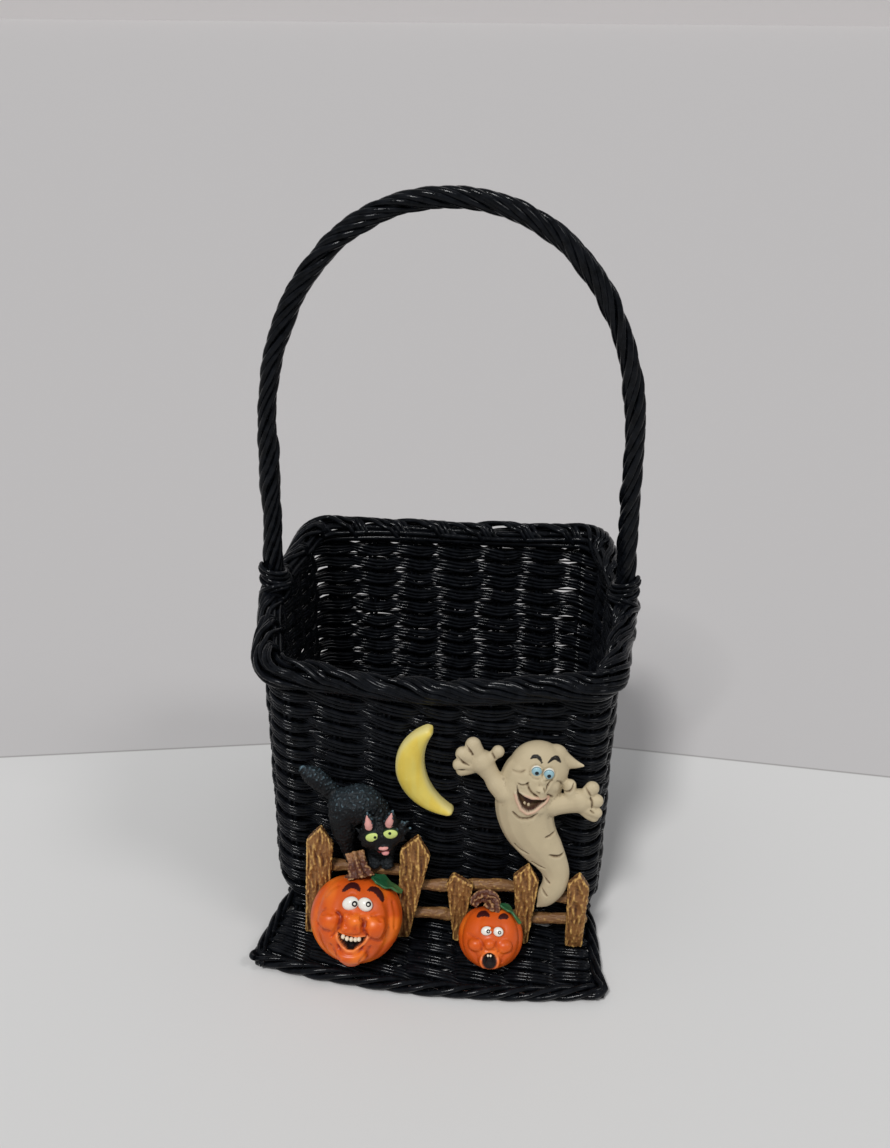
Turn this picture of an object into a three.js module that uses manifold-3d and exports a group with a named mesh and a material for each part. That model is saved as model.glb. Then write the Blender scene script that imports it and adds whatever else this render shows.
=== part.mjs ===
// A black wicker basket for Halloween: a woven box with a tall hoop handle, and a woven ledge in
// front of it, where painted figures stand by a small fence.
// Millimetres, +Z up, the front faces -Y. The origin is on the floor, under the middle of the box.

import * as THREE from 'three';
import { mergeVertices } from 'three/addons/utils/BufferGeometryUtils.js';
import Module from 'manifold-3d';

const wasm = await Module();
wasm.setup();

// Clearance between two pieces that touch
const clearance = 0.3;

// The woven box, measured at the middle of its wall
const boxWidth = 200;
const boxDepth = 168;
const wallThickness = 8;
// The rows of weaving, and how deep the wall dips between two strokes of the canes
const wallRows = 16;
const strokeRelief = 1.6;
const cornerRadius = 16;
const footRadius = 28;
const footInset = 3;
const footHeight = 24;
const frontLean = 3.5;
const frontBow = 4;
const earBulge = 10.5;
const bulgeStart = 60;
const stakeCount = 24;
const stakeRodRadius = 1.5;

// The rolled border on top of the wall
const rimHeight = 184;
const rimTilt = 8;
const frontDip = 6;
const rimRadius = 6.6;
const rimBump = 0.8;
const rimBumpCount = 18;
const rimSides = 8;

// The floor of the box, the ledge and the sticks that run through both
const matThickness = 7.2;
const backCornerRadius = 26;
const stickRadius = 1.8;
const stickCount = 7;
const stickInset = 11.5;
const stickEndWall = 4;
const ledgeReach = 154.5;
const ledgeMiddle = 25;
const ledgeSweep = 9.8;
const ledgeFlareLeft = 9;
const ledgeFlareRight = 5;
const ledgeBorderRadius = 4.5;

// The hoop handle. Its feet stand in the swollen sides of the wall, and its arch is a little narrower.
const handleInset = 1.5;
const handleSpring = 288;
const handleTop = 429.5;
// 2 would make the arch half an ellipse, and more makes its shoulders fuller.
const handleFullness = 2.12;
const coreRadius = 2.8;
const ropeRadius = 5.9;
const ropeSwell = 0.45;
const ropeKnots = 11;
const lashingTurns = 3;
const lashingRadius = 1.8;
const lashingPitch = 4.1;
const lashingSteps = 24;
const legSteps = 6;
const archSteps = 12;

// The fence
const fenceFront = -113.5;
const picketThickness = 5;
const picketPoint = 11;
const picketSkew = 2;
const railRadius = 3.5;
const catRailRadius = 4;

// The figures
const moonThickness = 7;
const ghostThickness = 13;
const leafThickness = 1.8;
const leafFold = 0.25;
const pumpkinDepth = 0.94;
const pumpkinHeight = 0.97;
const pumpkinRibDepth = 0.07;
const pumpkinTopDent = 0.16;

const wallFoot = matThickness + clearance;
const rimFlat = rimRadius * Math.cos(Math.PI / rimSides);
const ledgeTop = matThickness;
const ledgeLeft = boxWidth / 2 + ledgeFlareLeft;
const ledgeRight = boxWidth / 2 + ledgeFlareRight;
const stickPitch = (boxWidth - 2 * stickInset) / (stickCount - 1);
const handleHalfWidth = boxWidth / 2 + earBulge - handleInset;
const fenceBack = fenceFront + picketThickness;
// Farther out than any piece, for the blocks that cut
const farOut = 300;

// Colours and finishes
function paint(color, roughness, metalness = 0) {
  return new THREE.MeshStandardMaterial({ color, roughness, metalness });
}
const blackCane = paint(0x17181b, 0.38);
const fenceWood = paint(0x9a6a35, 0.7);
const pumpkinOrange = paint(0xdf5a1b, 0.4);
const stemBrown = paint(0x7a3b2c, 0.6);
const leafGreen = paint(0x1f6b3c, 0.5);
const catBlack = paint(0x1b1d20, 0.6);
const ghostCream = paint(0xcfc3a4, 0.75);
const moonYellow = paint(0xe0cf5e, 0.5);

// Mesh building

function bodyFrom(points, faces) {
  const positions = [];
  for (const point of points) positions.push(point.x, point.y, point.z);
  let volume = 0;
  for (const [a, b, c] of faces) {
    volume += points[a].dot(new THREE.Vector3().crossVectors(points[b], points[c]));
  }
  const index = [];
  for (const [a, b, c] of faces) {
    if (volume > 0) index.push(a, b, c);
    else index.push(a, c, b);
  }
  const geometry = new THREE.BufferGeometry();
  geometry.setAttribute('position', new THREE.Float32BufferAttribute(positions, 3));
  geometry.setIndex(index);
  return geometry;
}

// A skin over a row of rings. A loop joins the last ring to the first; otherwise both ends are closed.
function loft(rings, loop = false) {
  const sides = rings[0].length;
  const points = rings.flat();
  const faces = [];
  const spans = loop ? rings.length : rings.length - 1;
  for (let i = 0; i < spans; i++) {
    const next = (i + 1) % rings.length;
    for (let j = 0; j < sides; j++) {
      const side = (j + 1) % sides;
      faces.push([i * sides + j, i * sides + side, next * sides + side]);
      faces.push([i * sides + j, next * sides + side, next * sides + j]);
    }
  }
  if (!loop) {
    const last = (rings.length - 1) * sides;
    const foot = points.length;
    points.push(middleOf(rings[0]), middleOf(rings[rings.length - 1]));
    for (let j = 0; j < sides; j++) {
      const side = (j + 1) % sides;
      faces.push([foot, side, j]);
      faces.push([foot + 1, last + j, last + side]);
    }
  }
  return bodyFrom(points, faces);
}

function middleOf(ring) {
  const middle = new THREE.Vector3();
  for (const point of ring) middle.add(point);
  return middle.divideScalar(ring.length);
}

// A round tube whose radius may change from point to point. Its rings turn as little as they can.
// With level ends, its first and last rings lie flat.
function tube(points, radii, sides, levelEnds = false) {
  const curve = points.map((point) => point.clone());
  const rings = [];
  let normal = null;
  for (let i = 0; i < curve.length; i++) {
    const before = curve[Math.max(i - 1, 0)];
    const after = curve[Math.min(i + 1, curve.length - 1)];
    const along = new THREE.Vector3().subVectors(after, before).normalize();
    const atEnd = i === 0 || i === curve.length - 1;
    if (levelEnds && atEnd) along.set(0, 0, Math.sign(along.z));
    if (!normal) {
      normal = Math.abs(along.y) < 0.9 ? new THREE.Vector3(0, 1, 0) : new THREE.Vector3(0, 0, 1);
    }
    normal.addScaledVector(along, -normal.dot(along)).normalize();
    const across = new THREE.Vector3().crossVectors(along, normal);
    const radius = Array.isArray(radii) ? radii[i] : radii;
    const ring = [];
    for (let j = 0; j < sides; j++) {
      const angle = (j * 2 * Math.PI) / sides;
      const point = curve[i].clone();
      point.addScaledVector(normal, radius * Math.cos(angle));
      point.addScaledVector(across, radius * Math.sin(angle));
      ring.push(point);
    }
    rings.push(ring);
  }
  return loft(rings);
}

// A smooth curve through a few points, with a radius at each of them.
function limb(stations, steps, sides) {
  const curve = new THREE.CatmullRomCurve3(stations.map(([x, y, z]) => new THREE.Vector3(x, y, z)));
  const widths = new THREE.CatmullRomCurve3(stations.map((s) => new THREE.Vector3(s[3], 0, 0)));
  const points = [];
  const radii = [];
  for (let i = 0; i <= steps; i++) {
    points.push(curve.getPoint(i / steps));
    radii.push(widths.getPoint(i / steps).x);
  }
  return tube(points, radii, sides);
}

function egg([x, y, z], [radiusX, radiusY, radiusZ], around = 12, down = 8) {
  const geometry = new THREE.SphereGeometry(1, around, down);
  geometry.rotateX(Math.PI / 2);
  geometry.scale(radiusX, radiusY, radiusZ);
  geometry.translate(x, y, z);
  return geometry;
}

function block(low, high) {
  const size = new THREE.Vector3().subVectors(high, low);
  const geometry = new THREE.BoxGeometry(size.x, size.y, size.z);
  geometry.translate((low.x + high.x) / 2, (low.y + high.y) / 2, (low.z + high.z) / 2);
  return geometry;
}

// Solids that can be cut and joined

function solid(geometry) {
  const bare = new THREE.BufferGeometry();
  bare.setAttribute('position', geometry.getAttribute('position').clone());
  if (geometry.index) bare.setIndex(geometry.index.clone());
  const merged = mergeVertices(bare, 1e-4);
  const vertProperties = new Float32Array(merged.getAttribute('position').array);
  const triVerts = new Uint32Array(merged.index.array);
  return new wasm.Manifold(new wasm.Mesh({ numProp: 3, vertProperties, triVerts }));
}

function geometryOf(manifold) {
  const mesh = manifold.getMesh();
  const geometry = new THREE.BufferGeometry();
  const positions = Float32Array.from(mesh.vertProperties);
  geometry.setAttribute('position', new THREE.BufferAttribute(positions, 3));
  geometry.setIndex(Array.from(mesh.triVerts));
  return geometry;
}

function joined(geometries) {
  let whole = solid(geometries[0]);
  for (const geometry of geometries.slice(1)) whole = whole.add(solid(geometry));
  return whole;
}

const basket = new THREE.Group();

function addPiece(name, shape, material) {
  const geometry = shape.isBufferGeometry ? shape : geometryOf(shape);
  geometry.computeVertexNormals();
  const mesh = new THREE.Mesh(geometry, material);
  mesh.name = name;
  basket.add(mesh);
}

// The path of the wall

// A point on a rounded rectangle. t runs from 0 at the middle of the front, through 1/4 at the
// middle of the right side, once round to 1.
function roundedRectangle(t, halfWidth, halfDepth, radius) {
  const straightX = halfWidth - radius;
  const straightY = halfDepth - radius;
  const arc = (radius * Math.PI) / 2;
  const quarter = straightX + arc + straightY;
  const turn = (((t % 1) + 1) % 1) * 4;
  const part = Math.floor(turn);
  const share = turn - part;
  const s = (part % 2 === 0 ? share : 1 - share) * quarter;
  let x = halfWidth;
  let y = -straightY + (s - straightX - arc);
  let nx = 1;
  let ny = 0;
  if (s <= straightX) {
    x = s;
    y = -halfDepth;
    nx = 0;
    ny = -1;
  } else if (s < straightX + arc) {
    const angle = (s - straightX) / radius;
    nx = Math.sin(angle);
    ny = -Math.cos(angle);
    x = straightX + radius * nx;
    y = -straightY + radius * ny;
  }
  const flipX = part >= 2 ? -1 : 1;
  const flipY = part === 1 || part === 2 ? -1 : 1;
  return { x: x * flipX, y: y * flipY, nx: nx * flipX, ny: ny * flipY };
}

function smooth(value) {
  const v = Math.min(Math.max(value, 0), 1);
  return v * v * (3 - 2 * v);
}

// The middle of the wall at height z: corners tuck in at the foot, the sides swell out to the
// handle's feet, and the front leans and bows forward a little.
function wallPoint(t, z) {
  const tuck = Math.max(0, 1 - (z - wallFoot) / footHeight) ** 2;
  const halfWidth = boxWidth / 2 - footInset * tuck;
  const halfDepth = boxDepth / 2 - footInset * tuck;
  const radius = cornerRadius + (footRadius - cornerRadius) * tuck;
  const point = roundedRectangle(t, halfWidth, halfDepth, radius);
  const share = (z - wallFoot) / (rimHeight - wallFoot);
  const bulge = earBulge * smooth((z - bulgeStart) / (rimHeight - bulgeStart));
  const middle = Math.cos((Math.PI * point.y) / boxDepth) ** 2;
  const forward = frontLean * (1 - share) + frontBow * share * Math.cos((Math.PI * point.x) / boxWidth) ** 2;
  const front = Math.max(0, -point.y / halfDepth);
  point.x += (bulge * middle * point.x) / halfWidth;
  point.y -= forward * front;
  return point;
}

function rimMiddleZ(t) {
  const point = roundedRectangle(t, boxWidth / 2, boxDepth / 2, cornerRadius);
  const front = Math.max(0, -point.y / (boxDepth / 2));
  const dip = frontDip * front * Math.cos((Math.PI * point.x) / boxWidth) ** 2;
  return rimHeight + (rimTilt * point.y) / (boxDepth / 2) - dip;
}

function wallTop(t) {
  return rimMiddleZ(t) - rimFlat - clearance;
}

function wallOffset(t, z, out) {
  const point = wallPoint(t, z);
  return new THREE.Vector3(point.x + point.nx * out, point.y + point.ny * out, z);
}

// The heights at which the wall bends: three in its foot, then where the swelling starts and its middle.
function wallLevels(t) {
  const foot = [0, 0.45, 1].map((share) => wallFoot + share * footHeight);
  const start = Math.max(bulgeStart, wallFoot + footHeight + 1);
  return [...foot, start, (start + wallTop(t)) / 2, wallTop(t)];
}

// Stations round the wall: four steps on each half of a side, and three in each corner.
function wallStations() {
  const straightX = boxWidth / 2 - cornerRadius;
  const straightY = boxDepth / 2 - cornerRadius;
  const arc = (cornerRadius * Math.PI) / 2;
  const quarter = straightX + arc + straightY;
  const one = [];
  for (let i = 0; i < 4; i++) one.push((straightX * i) / 4 / quarter);
  for (let i = 0; i < 3; i++) one.push((straightX + (arc * i) / 3) / quarter);
  for (let i = 0; i < 4; i++) one.push((straightX + arc + (straightY * i) / 4) / quarter);
  const mirrored = one.slice(1).reverse().map((share) => 2 - share);
  const half = [...one, 1, ...mirrored];
  return [...half.map((share) => share / 4), ...half.map((share) => (share + 2) / 4)];
}

function wallBlock(out, below, above) {
  const stations = wallStations();
  const levels = wallLevels(0);
  const rings = [stations.map((t) => wallOffset(t, levels[0], out).setZ(levels[0] - below))];
  for (let i = 0; i < levels.length; i++) {
    rings.push(stations.map((t) => wallOffset(t, wallLevels(t)[i], out)));
  }
  rings.push(stations.map((t) => wallOffset(t, wallTop(t), out).setZ(wallTop(t) + above)));
  return solid(loft(rings));
}

// Pieces of the box

function stakeRing(t, z, radius) {
  const wall = wallPoint(t, z);
  const ring = [];
  for (const end of [1, -1]) {
    for (let i = 0; i < 3; i++) {
      const angle = -Math.PI / 2 + ((i + 0.5) * Math.PI) / 3;
      const along = end * (stakeRodRadius + radius * Math.cos(angle));
      const out = end * radius * Math.sin(angle);
      const x = wall.x - wall.ny * along + wall.nx * out;
      const y = wall.y + wall.nx * along + wall.ny * out;
      ring.push(new THREE.Vector3(x, y, z));
    }
  }
  return ring;
}

function stakeShape(t, radius, spare) {
  const levels = wallLevels(t);
  const rings = levels.map((z) => stakeRing(t, z, radius));
  if (spare > 0) {
    rings.unshift(stakeRing(t, levels[0], radius).map((point) => point.setZ(levels[0] - spare)));
    const top = levels[levels.length - 1];
    rings.push(stakeRing(t, top, radius).map((point) => point.setZ(top + spare)));
  }
  return loft(rings);
}

function isHandlePlace(k) {
  return k * 4 === stakeCount || k * 4 === stakeCount * 3;
}

// A place that far outside the wall's middle at height z. It lies on straight lines between the
// wall's levels, as the stakes do.
function wallLine(t, z, out) {
  const levels = wallLevels(t);
  let i = 0;
  while (i < levels.length - 2 && z > levels[i + 1]) i++;
  const share = (z - levels[i]) / (levels[i + 1] - levels[i]);
  return wallOffset(t, levels[i], out).lerp(wallOffset(t, levels[i + 1], out), share);
}

// The stations of one stake's column of strokes, which ends halfway to the stakes beside it. Under the
// rim, and where the wall isn't straight, the stake's own place and a corner's middle are among them.
function columnStations(k, underRim) {
  const ends = [(k - 0.5) / stakeCount, (k + 0.5) / stakeCount];
  const turns = ends.map((t) => roundedRectangle(t, boxWidth / 2, boxDepth / 2, cornerRadius).nx !== 0);
  if (!underRim && !turns[0] && !turns[1]) return ends;
  const straightX = boxWidth / 2 - cornerRadius;
  const halfArc = (cornerRadius * Math.PI) / 4;
  const corner = (straightX + halfArc) / (straightX + 2 * halfArc + boxDepth / 2 - cornerRadius) / 4;
  const between = [k / stakeCount, corner, 0.5 - corner, 0.5 + corner, 1 - corner];
  const inside = between.filter((t) => t > ends[0] && t < ends[1]);
  return [...ends, ...inside].sort((a, b) => a - b);
}

// The wall's skin inside and outside is a field of low pyramids. Each stands for one stroke of the
// canes over a stake, and between strokes and rows the wall is thinner.
function wovenWall() {
  const points = [];
  const faces = [];
  const add = (...corners) => {
    const first = points.length;
    points.push(...corners);
    for (let i = 2; i < corners.length; i++) faces.push([first, first + i - 1, first + i]);
  };
  const peak = wallThickness / 2;
  const dip = (t) => (isHandlePlace(t * stakeCount) ? peak : peak - strokeRelief);
  const rowZ = (t, row) => wallFoot + ((wallTop(t) - wallFoot) * row) / wallRows;
  const edge = (t, row, side) => wallLine(t, rowZ(t, row), side * dip(t));
  for (let k = 0; k < stakeCount; k++) {
    const stations = columnStations(k, false);
    const topStations = columnStations(k, true);
    const stake = k / stakeCount;
    for (let row = 0; row < wallRows; row++) {
      for (const side of [1, -1]) {
        const top = wallLine(stake, rowZ(stake, row + 0.5), side * peak);
        const below = stations.map((t) => edge(t, row, side));
        const over = row + 1 === wallRows ? topStations : stations;
        const above = over.map((t) => edge(t, row + 1, side));
        const round = [...below, ...above.reverse()];
        if (side < 0) round.reverse();
        round.forEach((corner, i) => add(top, corner, round[(i + 1) % round.length]));
      }
    }
    for (let i = 0; i + 1 < stations.length; i++) {
      const [a, b] = [stations[i], stations[i + 1]];
      add(edge(a, 0, 1), edge(a, 0, -1), edge(b, 0, -1), edge(b, 0, 1));
    }
    for (let i = 0; i + 1 < topStations.length; i++) {
      const [a, b] = [topStations[i], topStations[i + 1]];
      add(edge(a, wallRows, 1), edge(b, wallRows, 1), edge(b, wallRows, -1), edge(a, wallRows, -1));
    }
  }
  return solid(bodyFrom(points, faces));
}

function buildWall() {
  let wall = wovenWall();
  for (let k = 0; k < stakeCount; k++) {
    if (isHandlePlace(k)) continue;
    const t = k / stakeCount;
    wall = wall.subtract(solid(stakeShape(t, stakeRodRadius + clearance, 1)));
    const name = `stake_${String(k + 1).padStart(2, '0')}`;
    addPiece(name, stakeShape(t, stakeRodRadius, 0), blackCane);
  }
  return wall.subtract(solid(handleCore(coreRadius + clearance, 1)));
}

function rimSection(t) {
  const middle = rimMiddleZ(t);
  const path = wallPoint(t, middle);
  const bump = rimBump * Math.cos(2 * Math.PI * rimBumpCount * t);
  const section = [];
  for (let j = 0; j < rimSides; j++) {
    const angle = -Math.PI / 2 + ((j + 0.5) * 2 * Math.PI) / rimSides;
    const up = Math.sin(angle);
    const radius = rimRadius + (up > 0 ? bump * up : 0);
    const out = radius * Math.cos(angle);
    const z = middle + radius * up;
    section.push(new THREE.Vector3(path.x + path.nx * out, path.y + path.ny * out, z));
  }
  return section;
}

function buildRim() {
  const sections = [];
  const steps = rimBumpCount * 4;
  for (let i = 0; i < steps; i++) sections.push(rimSection(i / steps));
  const rim = solid(loft(sections, true));
  return rim.subtract(solid(handleCore(coreRadius + clearance, 1)));
}

// The handle

function handlePoints(fromZ, spare) {
  const half = [];
  const add = (x, z) => half.push(new THREE.Vector3(x, 0, z));
  if (fromZ <= wallFoot) {
    if (spare > 0) add(wallPoint(0.25, wallFoot).x, wallFoot - spare);
    for (const z of wallLevels(0.25)) add(wallPoint(0.25, z).x, z);
    add(wallPoint(0.25, rimMiddleZ(0.25)).x, rimMiddleZ(0.25));
  }
  const start = Math.max(fromZ, ropeFoot());
  const foot = wallPoint(0.25, rimMiddleZ(0.25)).x;
  for (let i = 0; i <= legSteps; i++) {
    const z = start + ((handleSpring - start) * i) / legSteps;
    const share = smooth((z - rimMiddleZ(0.25)) / (handleSpring - rimMiddleZ(0.25)));
    add(foot + (handleHalfWidth - foot) * share, z);
  }
  for (let i = 1; i < archSteps; i++) {
    const angle = (i * Math.PI) / 2 / archSteps;
    const x = handleHalfWidth * Math.cos(angle) ** (2 / handleFullness);
    add(x, handleSpring + (handleTop - handleSpring) * Math.sin(angle) ** (2 / handleFullness));
  }
  const other = half.map((point) => new THREE.Vector3(-point.x, 0, point.z)).reverse();
  return [...half, new THREE.Vector3(0, 0, handleTop), ...other];
}

function ropeFoot() {
  return rimMiddleZ(0.25) + rimRadius + rimBump + clearance;
}

function handleCore(radius, spare) {
  return tube(handlePoints(wallFoot, spare), radius, 6, true);
}

function buildRope() {
  const points = handlePoints(ropeFoot(), 0);
  const radii = points.map((point, i) => {
    const share = i / (points.length - 1);
    return ropeRadius + ropeSwell * Math.sin(share * ropeKnots * 2 * Math.PI);
  });
  return solid(tube(points, radii, 8, true)).subtract(solid(handleCore(coreRadius + clearance, 0)));
}

// The lashing is one cane, wound round the handle's foot and lying on the rim.
function lashing(side) {
  const points = [];
  const steps = lashingTurns * lashingSteps;
  const inner = ropeRadius + ropeSwell + clearance;
  const radius = inner + lashingRadius;
  const centre = wallPoint(0.25, rimMiddleZ(0.25)).x;
  const start = ropeFoot() + lashingRadius;
  for (let i = 0; i <= steps; i++) {
    const angle = (i * 2 * Math.PI) / lashingSteps;
    const x = side * (centre + radius * Math.cos(angle));
    const z = start + (lashingPitch * i) / lashingSteps;
    points.push(new THREE.Vector3(x, radius * Math.sin(angle), z));
  }
  const gap = leastGap(points) - 2 * lashingRadius;
  console.log(`lashing: least gap to itself ${gap.toFixed(2)} mm`);
  return tube(points, lashingRadius, 6);
}

function leastGap(points) {
  let least = Infinity;
  for (let i = 0; i < points.length; i++) {
    for (let j = i + lashingSteps / 2; j < points.length; j++) {
      least = Math.min(least, points[i].distanceTo(points[j]));
    }
  }
  return least;
}

// The floor and the ledge

function stickChannels(radius, fromY, toY) {
  const sticks = [];
  for (let k = 0; k < stickCount; k++) {
    const x = (k - (stickCount - 1) / 2) * stickPitch;
    const z = matThickness / 2;
    const low = fromY(x);
    const high = toY(x);
    const ends = [new THREE.Vector3(x, low, z), new THREE.Vector3(x, high, z)];
    sticks.push(tube(ends, radius, 8));
  }
  return sticks;
}

const matFront = -(boxDepth / 2 - footInset + frontLean + wallThickness / 2);
const matBack = boxDepth / 2 - footInset + wallThickness / 2;

// How far back a stick reaches. The outer ones end sooner, because the floor's corners are round.
function stickBackY(x) {
  const past = Math.abs(x) + stickRadius + clearance - (boxWidth / 2 - backCornerRadius);
  const edge = backCornerRadius - Math.sqrt(backCornerRadius ** 2 - Math.max(0, past) ** 2);
  return matBack - edge - stickEndWall;
}

function baseOutline() {
  const half = boxWidth / 2;
  const corner = backCornerRadius;
  const shape = new THREE.Shape();
  shape.moveTo(-half, matFront);
  shape.lineTo(half, matFront);
  shape.lineTo(half, matBack - corner);
  shape.absarc(half - corner, matBack - corner, corner, 0, Math.PI / 2, false);
  shape.lineTo(-half + corner, matBack);
  shape.absarc(-half + corner, matBack - corner, corner, Math.PI / 2, Math.PI, false);
  shape.lineTo(-half, matFront);
  return shape;
}

function plate(shape, thickness, curveSegments) {
  const options = { depth: thickness, bevelEnabled: false, curveSegments };
  return new THREE.ExtrudeGeometry(shape, options);
}

function buildBase() {
  let base = solid(plate(baseOutline(), matThickness, 5));
  const back = (x) => stickBackY(x) + clearance;
  const channels = stickChannels(stickRadius + clearance, () => matFront - 1, back);
  for (const channel of channels) base = base.subtract(solid(channel));
  return base;
}

// The ledge's front edge, and the line that its border follows
function ledgeFrontY(x) {
  return -ledgeReach + ledgeSweep * ((x - ledgeMiddle) / 100) ** 2;
}

function ledgeOutline() {
  const inset = 2 * ledgeBorderRadius + clearance;
  const points = [new THREE.Vector2(boxWidth / 2, matFront - clearance)];
  const steps = 10;
  for (let i = 0; i <= steps; i++) {
    const x = ledgeRight - ((ledgeRight + ledgeLeft) * i) / steps;
    points.push(new THREE.Vector2(x, ledgeFrontY(x) + inset));
  }
  points.push(new THREE.Vector2(-boxWidth / 2, matFront - clearance));
  return new THREE.Shape(points.reverse());
}

function buildLedge() {
  let ledge = solid(plate(ledgeOutline(), matThickness, 5));
  const channels = stickChannels(stickRadius + clearance, () => -ledgeReach, () => matFront + 1);
  for (const channel of channels) ledge = ledge.subtract(solid(channel));
  return ledge;
}

function buildLedgeBorder() {
  const points = [];
  const steps = 18;
  for (let i = 0; i <= steps; i++) {
    const x = -ledgeLeft + ((ledgeRight + ledgeLeft) * i) / steps;
    points.push(new THREE.Vector3(x, ledgeFrontY(x) + ledgeBorderRadius, ledgeBorderRadius));
  }
  return tube(points, ledgeBorderRadius, 8);
}

function addBaseSticks() {
  const inset = 2 * ledgeBorderRadius + 2 * clearance + stickRadius / 4;
  const sticks = stickChannels(stickRadius, (x) => ledgeFrontY(x) + inset, stickBackY);
  sticks.forEach((stick, k) => addPiece(`base_stick_${k + 1}`, stick, blackCane));
}

// The fence

// Each picket: its point's x and z, its width at the shoulders, and its foot's x and width
const pickets = [
  { tipX: -67.3, height: 89.5, width: 16, footX: -72.4, footWidth: 14 },
  { tipX: -10.3, height: 86, width: 18, footX: -18.6, footWidth: 7.5 },
  { tipX: 15, height: 59.5, width: 16, footX: 15, footWidth: 6.5 },
  { tipX: 55.6, height: 69, width: 15.5, footX: 54.8, footWidth: 6.5 },
  { tipX: 86.5, height: 64, width: 13, footX: 85.7, footWidth: 10.5 },
];

function picketShape({ tipX, height, width, footX, footWidth }, grow = 0) {
  const foot = ledgeTop + clearance - grow;
  const shoulder = height - picketPoint;
  const halfFoot = footWidth / 2 + grow;
  const halfWidth = width / 2 + grow;
  const shape = new THREE.Shape();
  shape.moveTo(footX - halfFoot, foot);
  shape.lineTo(footX + halfFoot, foot);
  shape.lineTo(tipX + halfWidth, shoulder - picketSkew);
  shape.lineTo(tipX, height + 2 * grow);
  shape.lineTo(tipX - halfWidth, shoulder + picketSkew);
  const board = plate(shape, picketThickness + 2 * grow, 4);
  board.rotateX(Math.PI / 2);
  board.translate(0, fenceBack + grow, 0);
  return board;
}

function rail(points, radius, grow = 0) {
  const y = fenceBack + clearance + radius;
  const curve = new THREE.CatmullRomCurve3(points.map(([x, z]) => new THREE.Vector3(x, y, z)));
  return tube(curve.getPoints(8), radius + grow, 7);
}

const upperRailPoints = [[-16, 44], [4, 44.5], [27, 46.5], [46, 46.5], [66, 42.5], [90, 39]];
const lowerRailPoints = [[-20, 22], [4, 22.5], [34, 23], [60, 23], [90, 24]];
const catRailPoints = [[-70, 56.3], [-40, 55], [-12, 54.3]];

// The pumpkins

const bigPumpkin = { x: -44.5, y: -126.5, radius: 28, ribs: 10, tilt: 0.62 };
const smallPumpkin = { x: 35.4, y: -127.2, radius: 19.4, ribs: 8, tilt: 0.62 };

// Stems and leaves on those faces, from root to tip, and the stems' radii in the same shares
const bigStemPlaces = [[0, 0.7, 0.25], [-0.05, 0.98, 0.35], [-0.1, 1.25, 0.5]];
const bigStemRadii = [0.26, 0.2, 0.2];
const smallStemPlaces = [[0, 0.7, 0.3], [-0.05, 1, 0.4], [-0.25, 1.1, 0.55]];
const smallStemRadii = [0.26, 0.24, 0.2];
const bigLeafPlaces = [[0.31, 0.79, 0.38], [0.54, 0.64, 0.43], [0.79, 0.43, 0.43]];
const smallLeafPlaces = [[0.27, 0.79, 0.4], [0.54, 0.64, 0.43], [0.8, 0.4, 0.43]];
const leafWidth = 0.24;

function pumpkinMiddle({ x, y, radius }) {
  return new THREE.Vector3(x, y, ledgeTop + clearance + radius * pumpkinHeight);
}

// A place on the pumpkin's face, in shares of its radius: to the right, up the face and out of it.
function onFace(pumpkin, [right, up, out]) {
  const place = new THREE.Vector3(right, -out, up).multiplyScalar(pumpkin.radius);
  place.applyAxisAngle(new THREE.Vector3(1, 0, 0), -pumpkin.tilt);
  return place.add(pumpkinMiddle(pumpkin));
}

function ribbedBall(pumpkin, grow) {
  const geometry = new THREE.SphereGeometry(1, pumpkin.ribs * 2, 10);
  geometry.rotateX(Math.PI / 2);
  const place = geometry.getAttribute('position');
  for (let i = 0; i < place.count; i++) {
    const x = place.getX(i);
    const y = place.getY(i);
    const z = place.getZ(i);
    const flat = Math.hypot(x, y);
    const angle = Math.atan2(y, x);
    const rib = 1 - pumpkinRibDepth * flat * (1 - Math.abs(Math.cos((pumpkin.ribs * angle) / 2)));
    const dent = z > 0 ? 1 - pumpkinTopDent * (1 - flat) ** 2 : 1;
    place.setXYZ(i, x * rib, y * rib, z * dent);
  }
  const size = pumpkin.radius + grow;
  geometry.scale(size, size * pumpkinDepth, size * pumpkinHeight);
  geometry.rotateX(-pumpkin.tilt);
  const middle = pumpkinMiddle(pumpkin);
  geometry.translate(middle.x, middle.y, middle.z);
  return geometry;
}

function faceLump(pumpkin, place, sizes) {
  const middle = onFace(pumpkin, place);
  const radii = sizes.map((size) => size * pumpkin.radius);
  return egg([middle.x, middle.y, middle.z], radii, 8, 5);
}

function pumpkinSolid(pumpkin, grow) {
  const lumps = [ribbedBall(pumpkin, grow)];
  lumps.push(faceLump(pumpkin, [0.05, 0.02, 0.94], [0.2, 0.17, 0.16]));
  lumps.push(faceLump(pumpkin, [-0.45, -0.1, 0.78], [0.3, 0.22, 0.24]));
  lumps.push(faceLump(pumpkin, [0.48, -0.12, 0.76], [0.3, 0.22, 0.24]));
  lumps.push(faceLump(pumpkin, [0, -0.66, 0.66], [0.34, 0.2, 0.22]));
  return joined(lumps);
}

// The room behind the fence's front and under the ledge's top, which the pumpkins keep out of
function fenceAndLedgeSpace() {
  const low = new THREE.Vector3(-farOut, fenceFront - clearance, -farOut);
  const behind = block(low, new THREE.Vector3(farOut, 0, farOut));
  const top = new THREE.Vector3(farOut, 0, ledgeTop + clearance);
  const under = block(new THREE.Vector3(-farOut, -farOut, -farOut), top);
  return joined([behind, under]);
}

function stem(pumpkin, places, radii) {
  const stations = places.map((place, i) => {
    const point = onFace(pumpkin, place);
    return [point.x, point.y, point.z, radii[i] * pumpkin.radius];
  });
  return solid(limb(stations, 7, 7));
}

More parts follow.
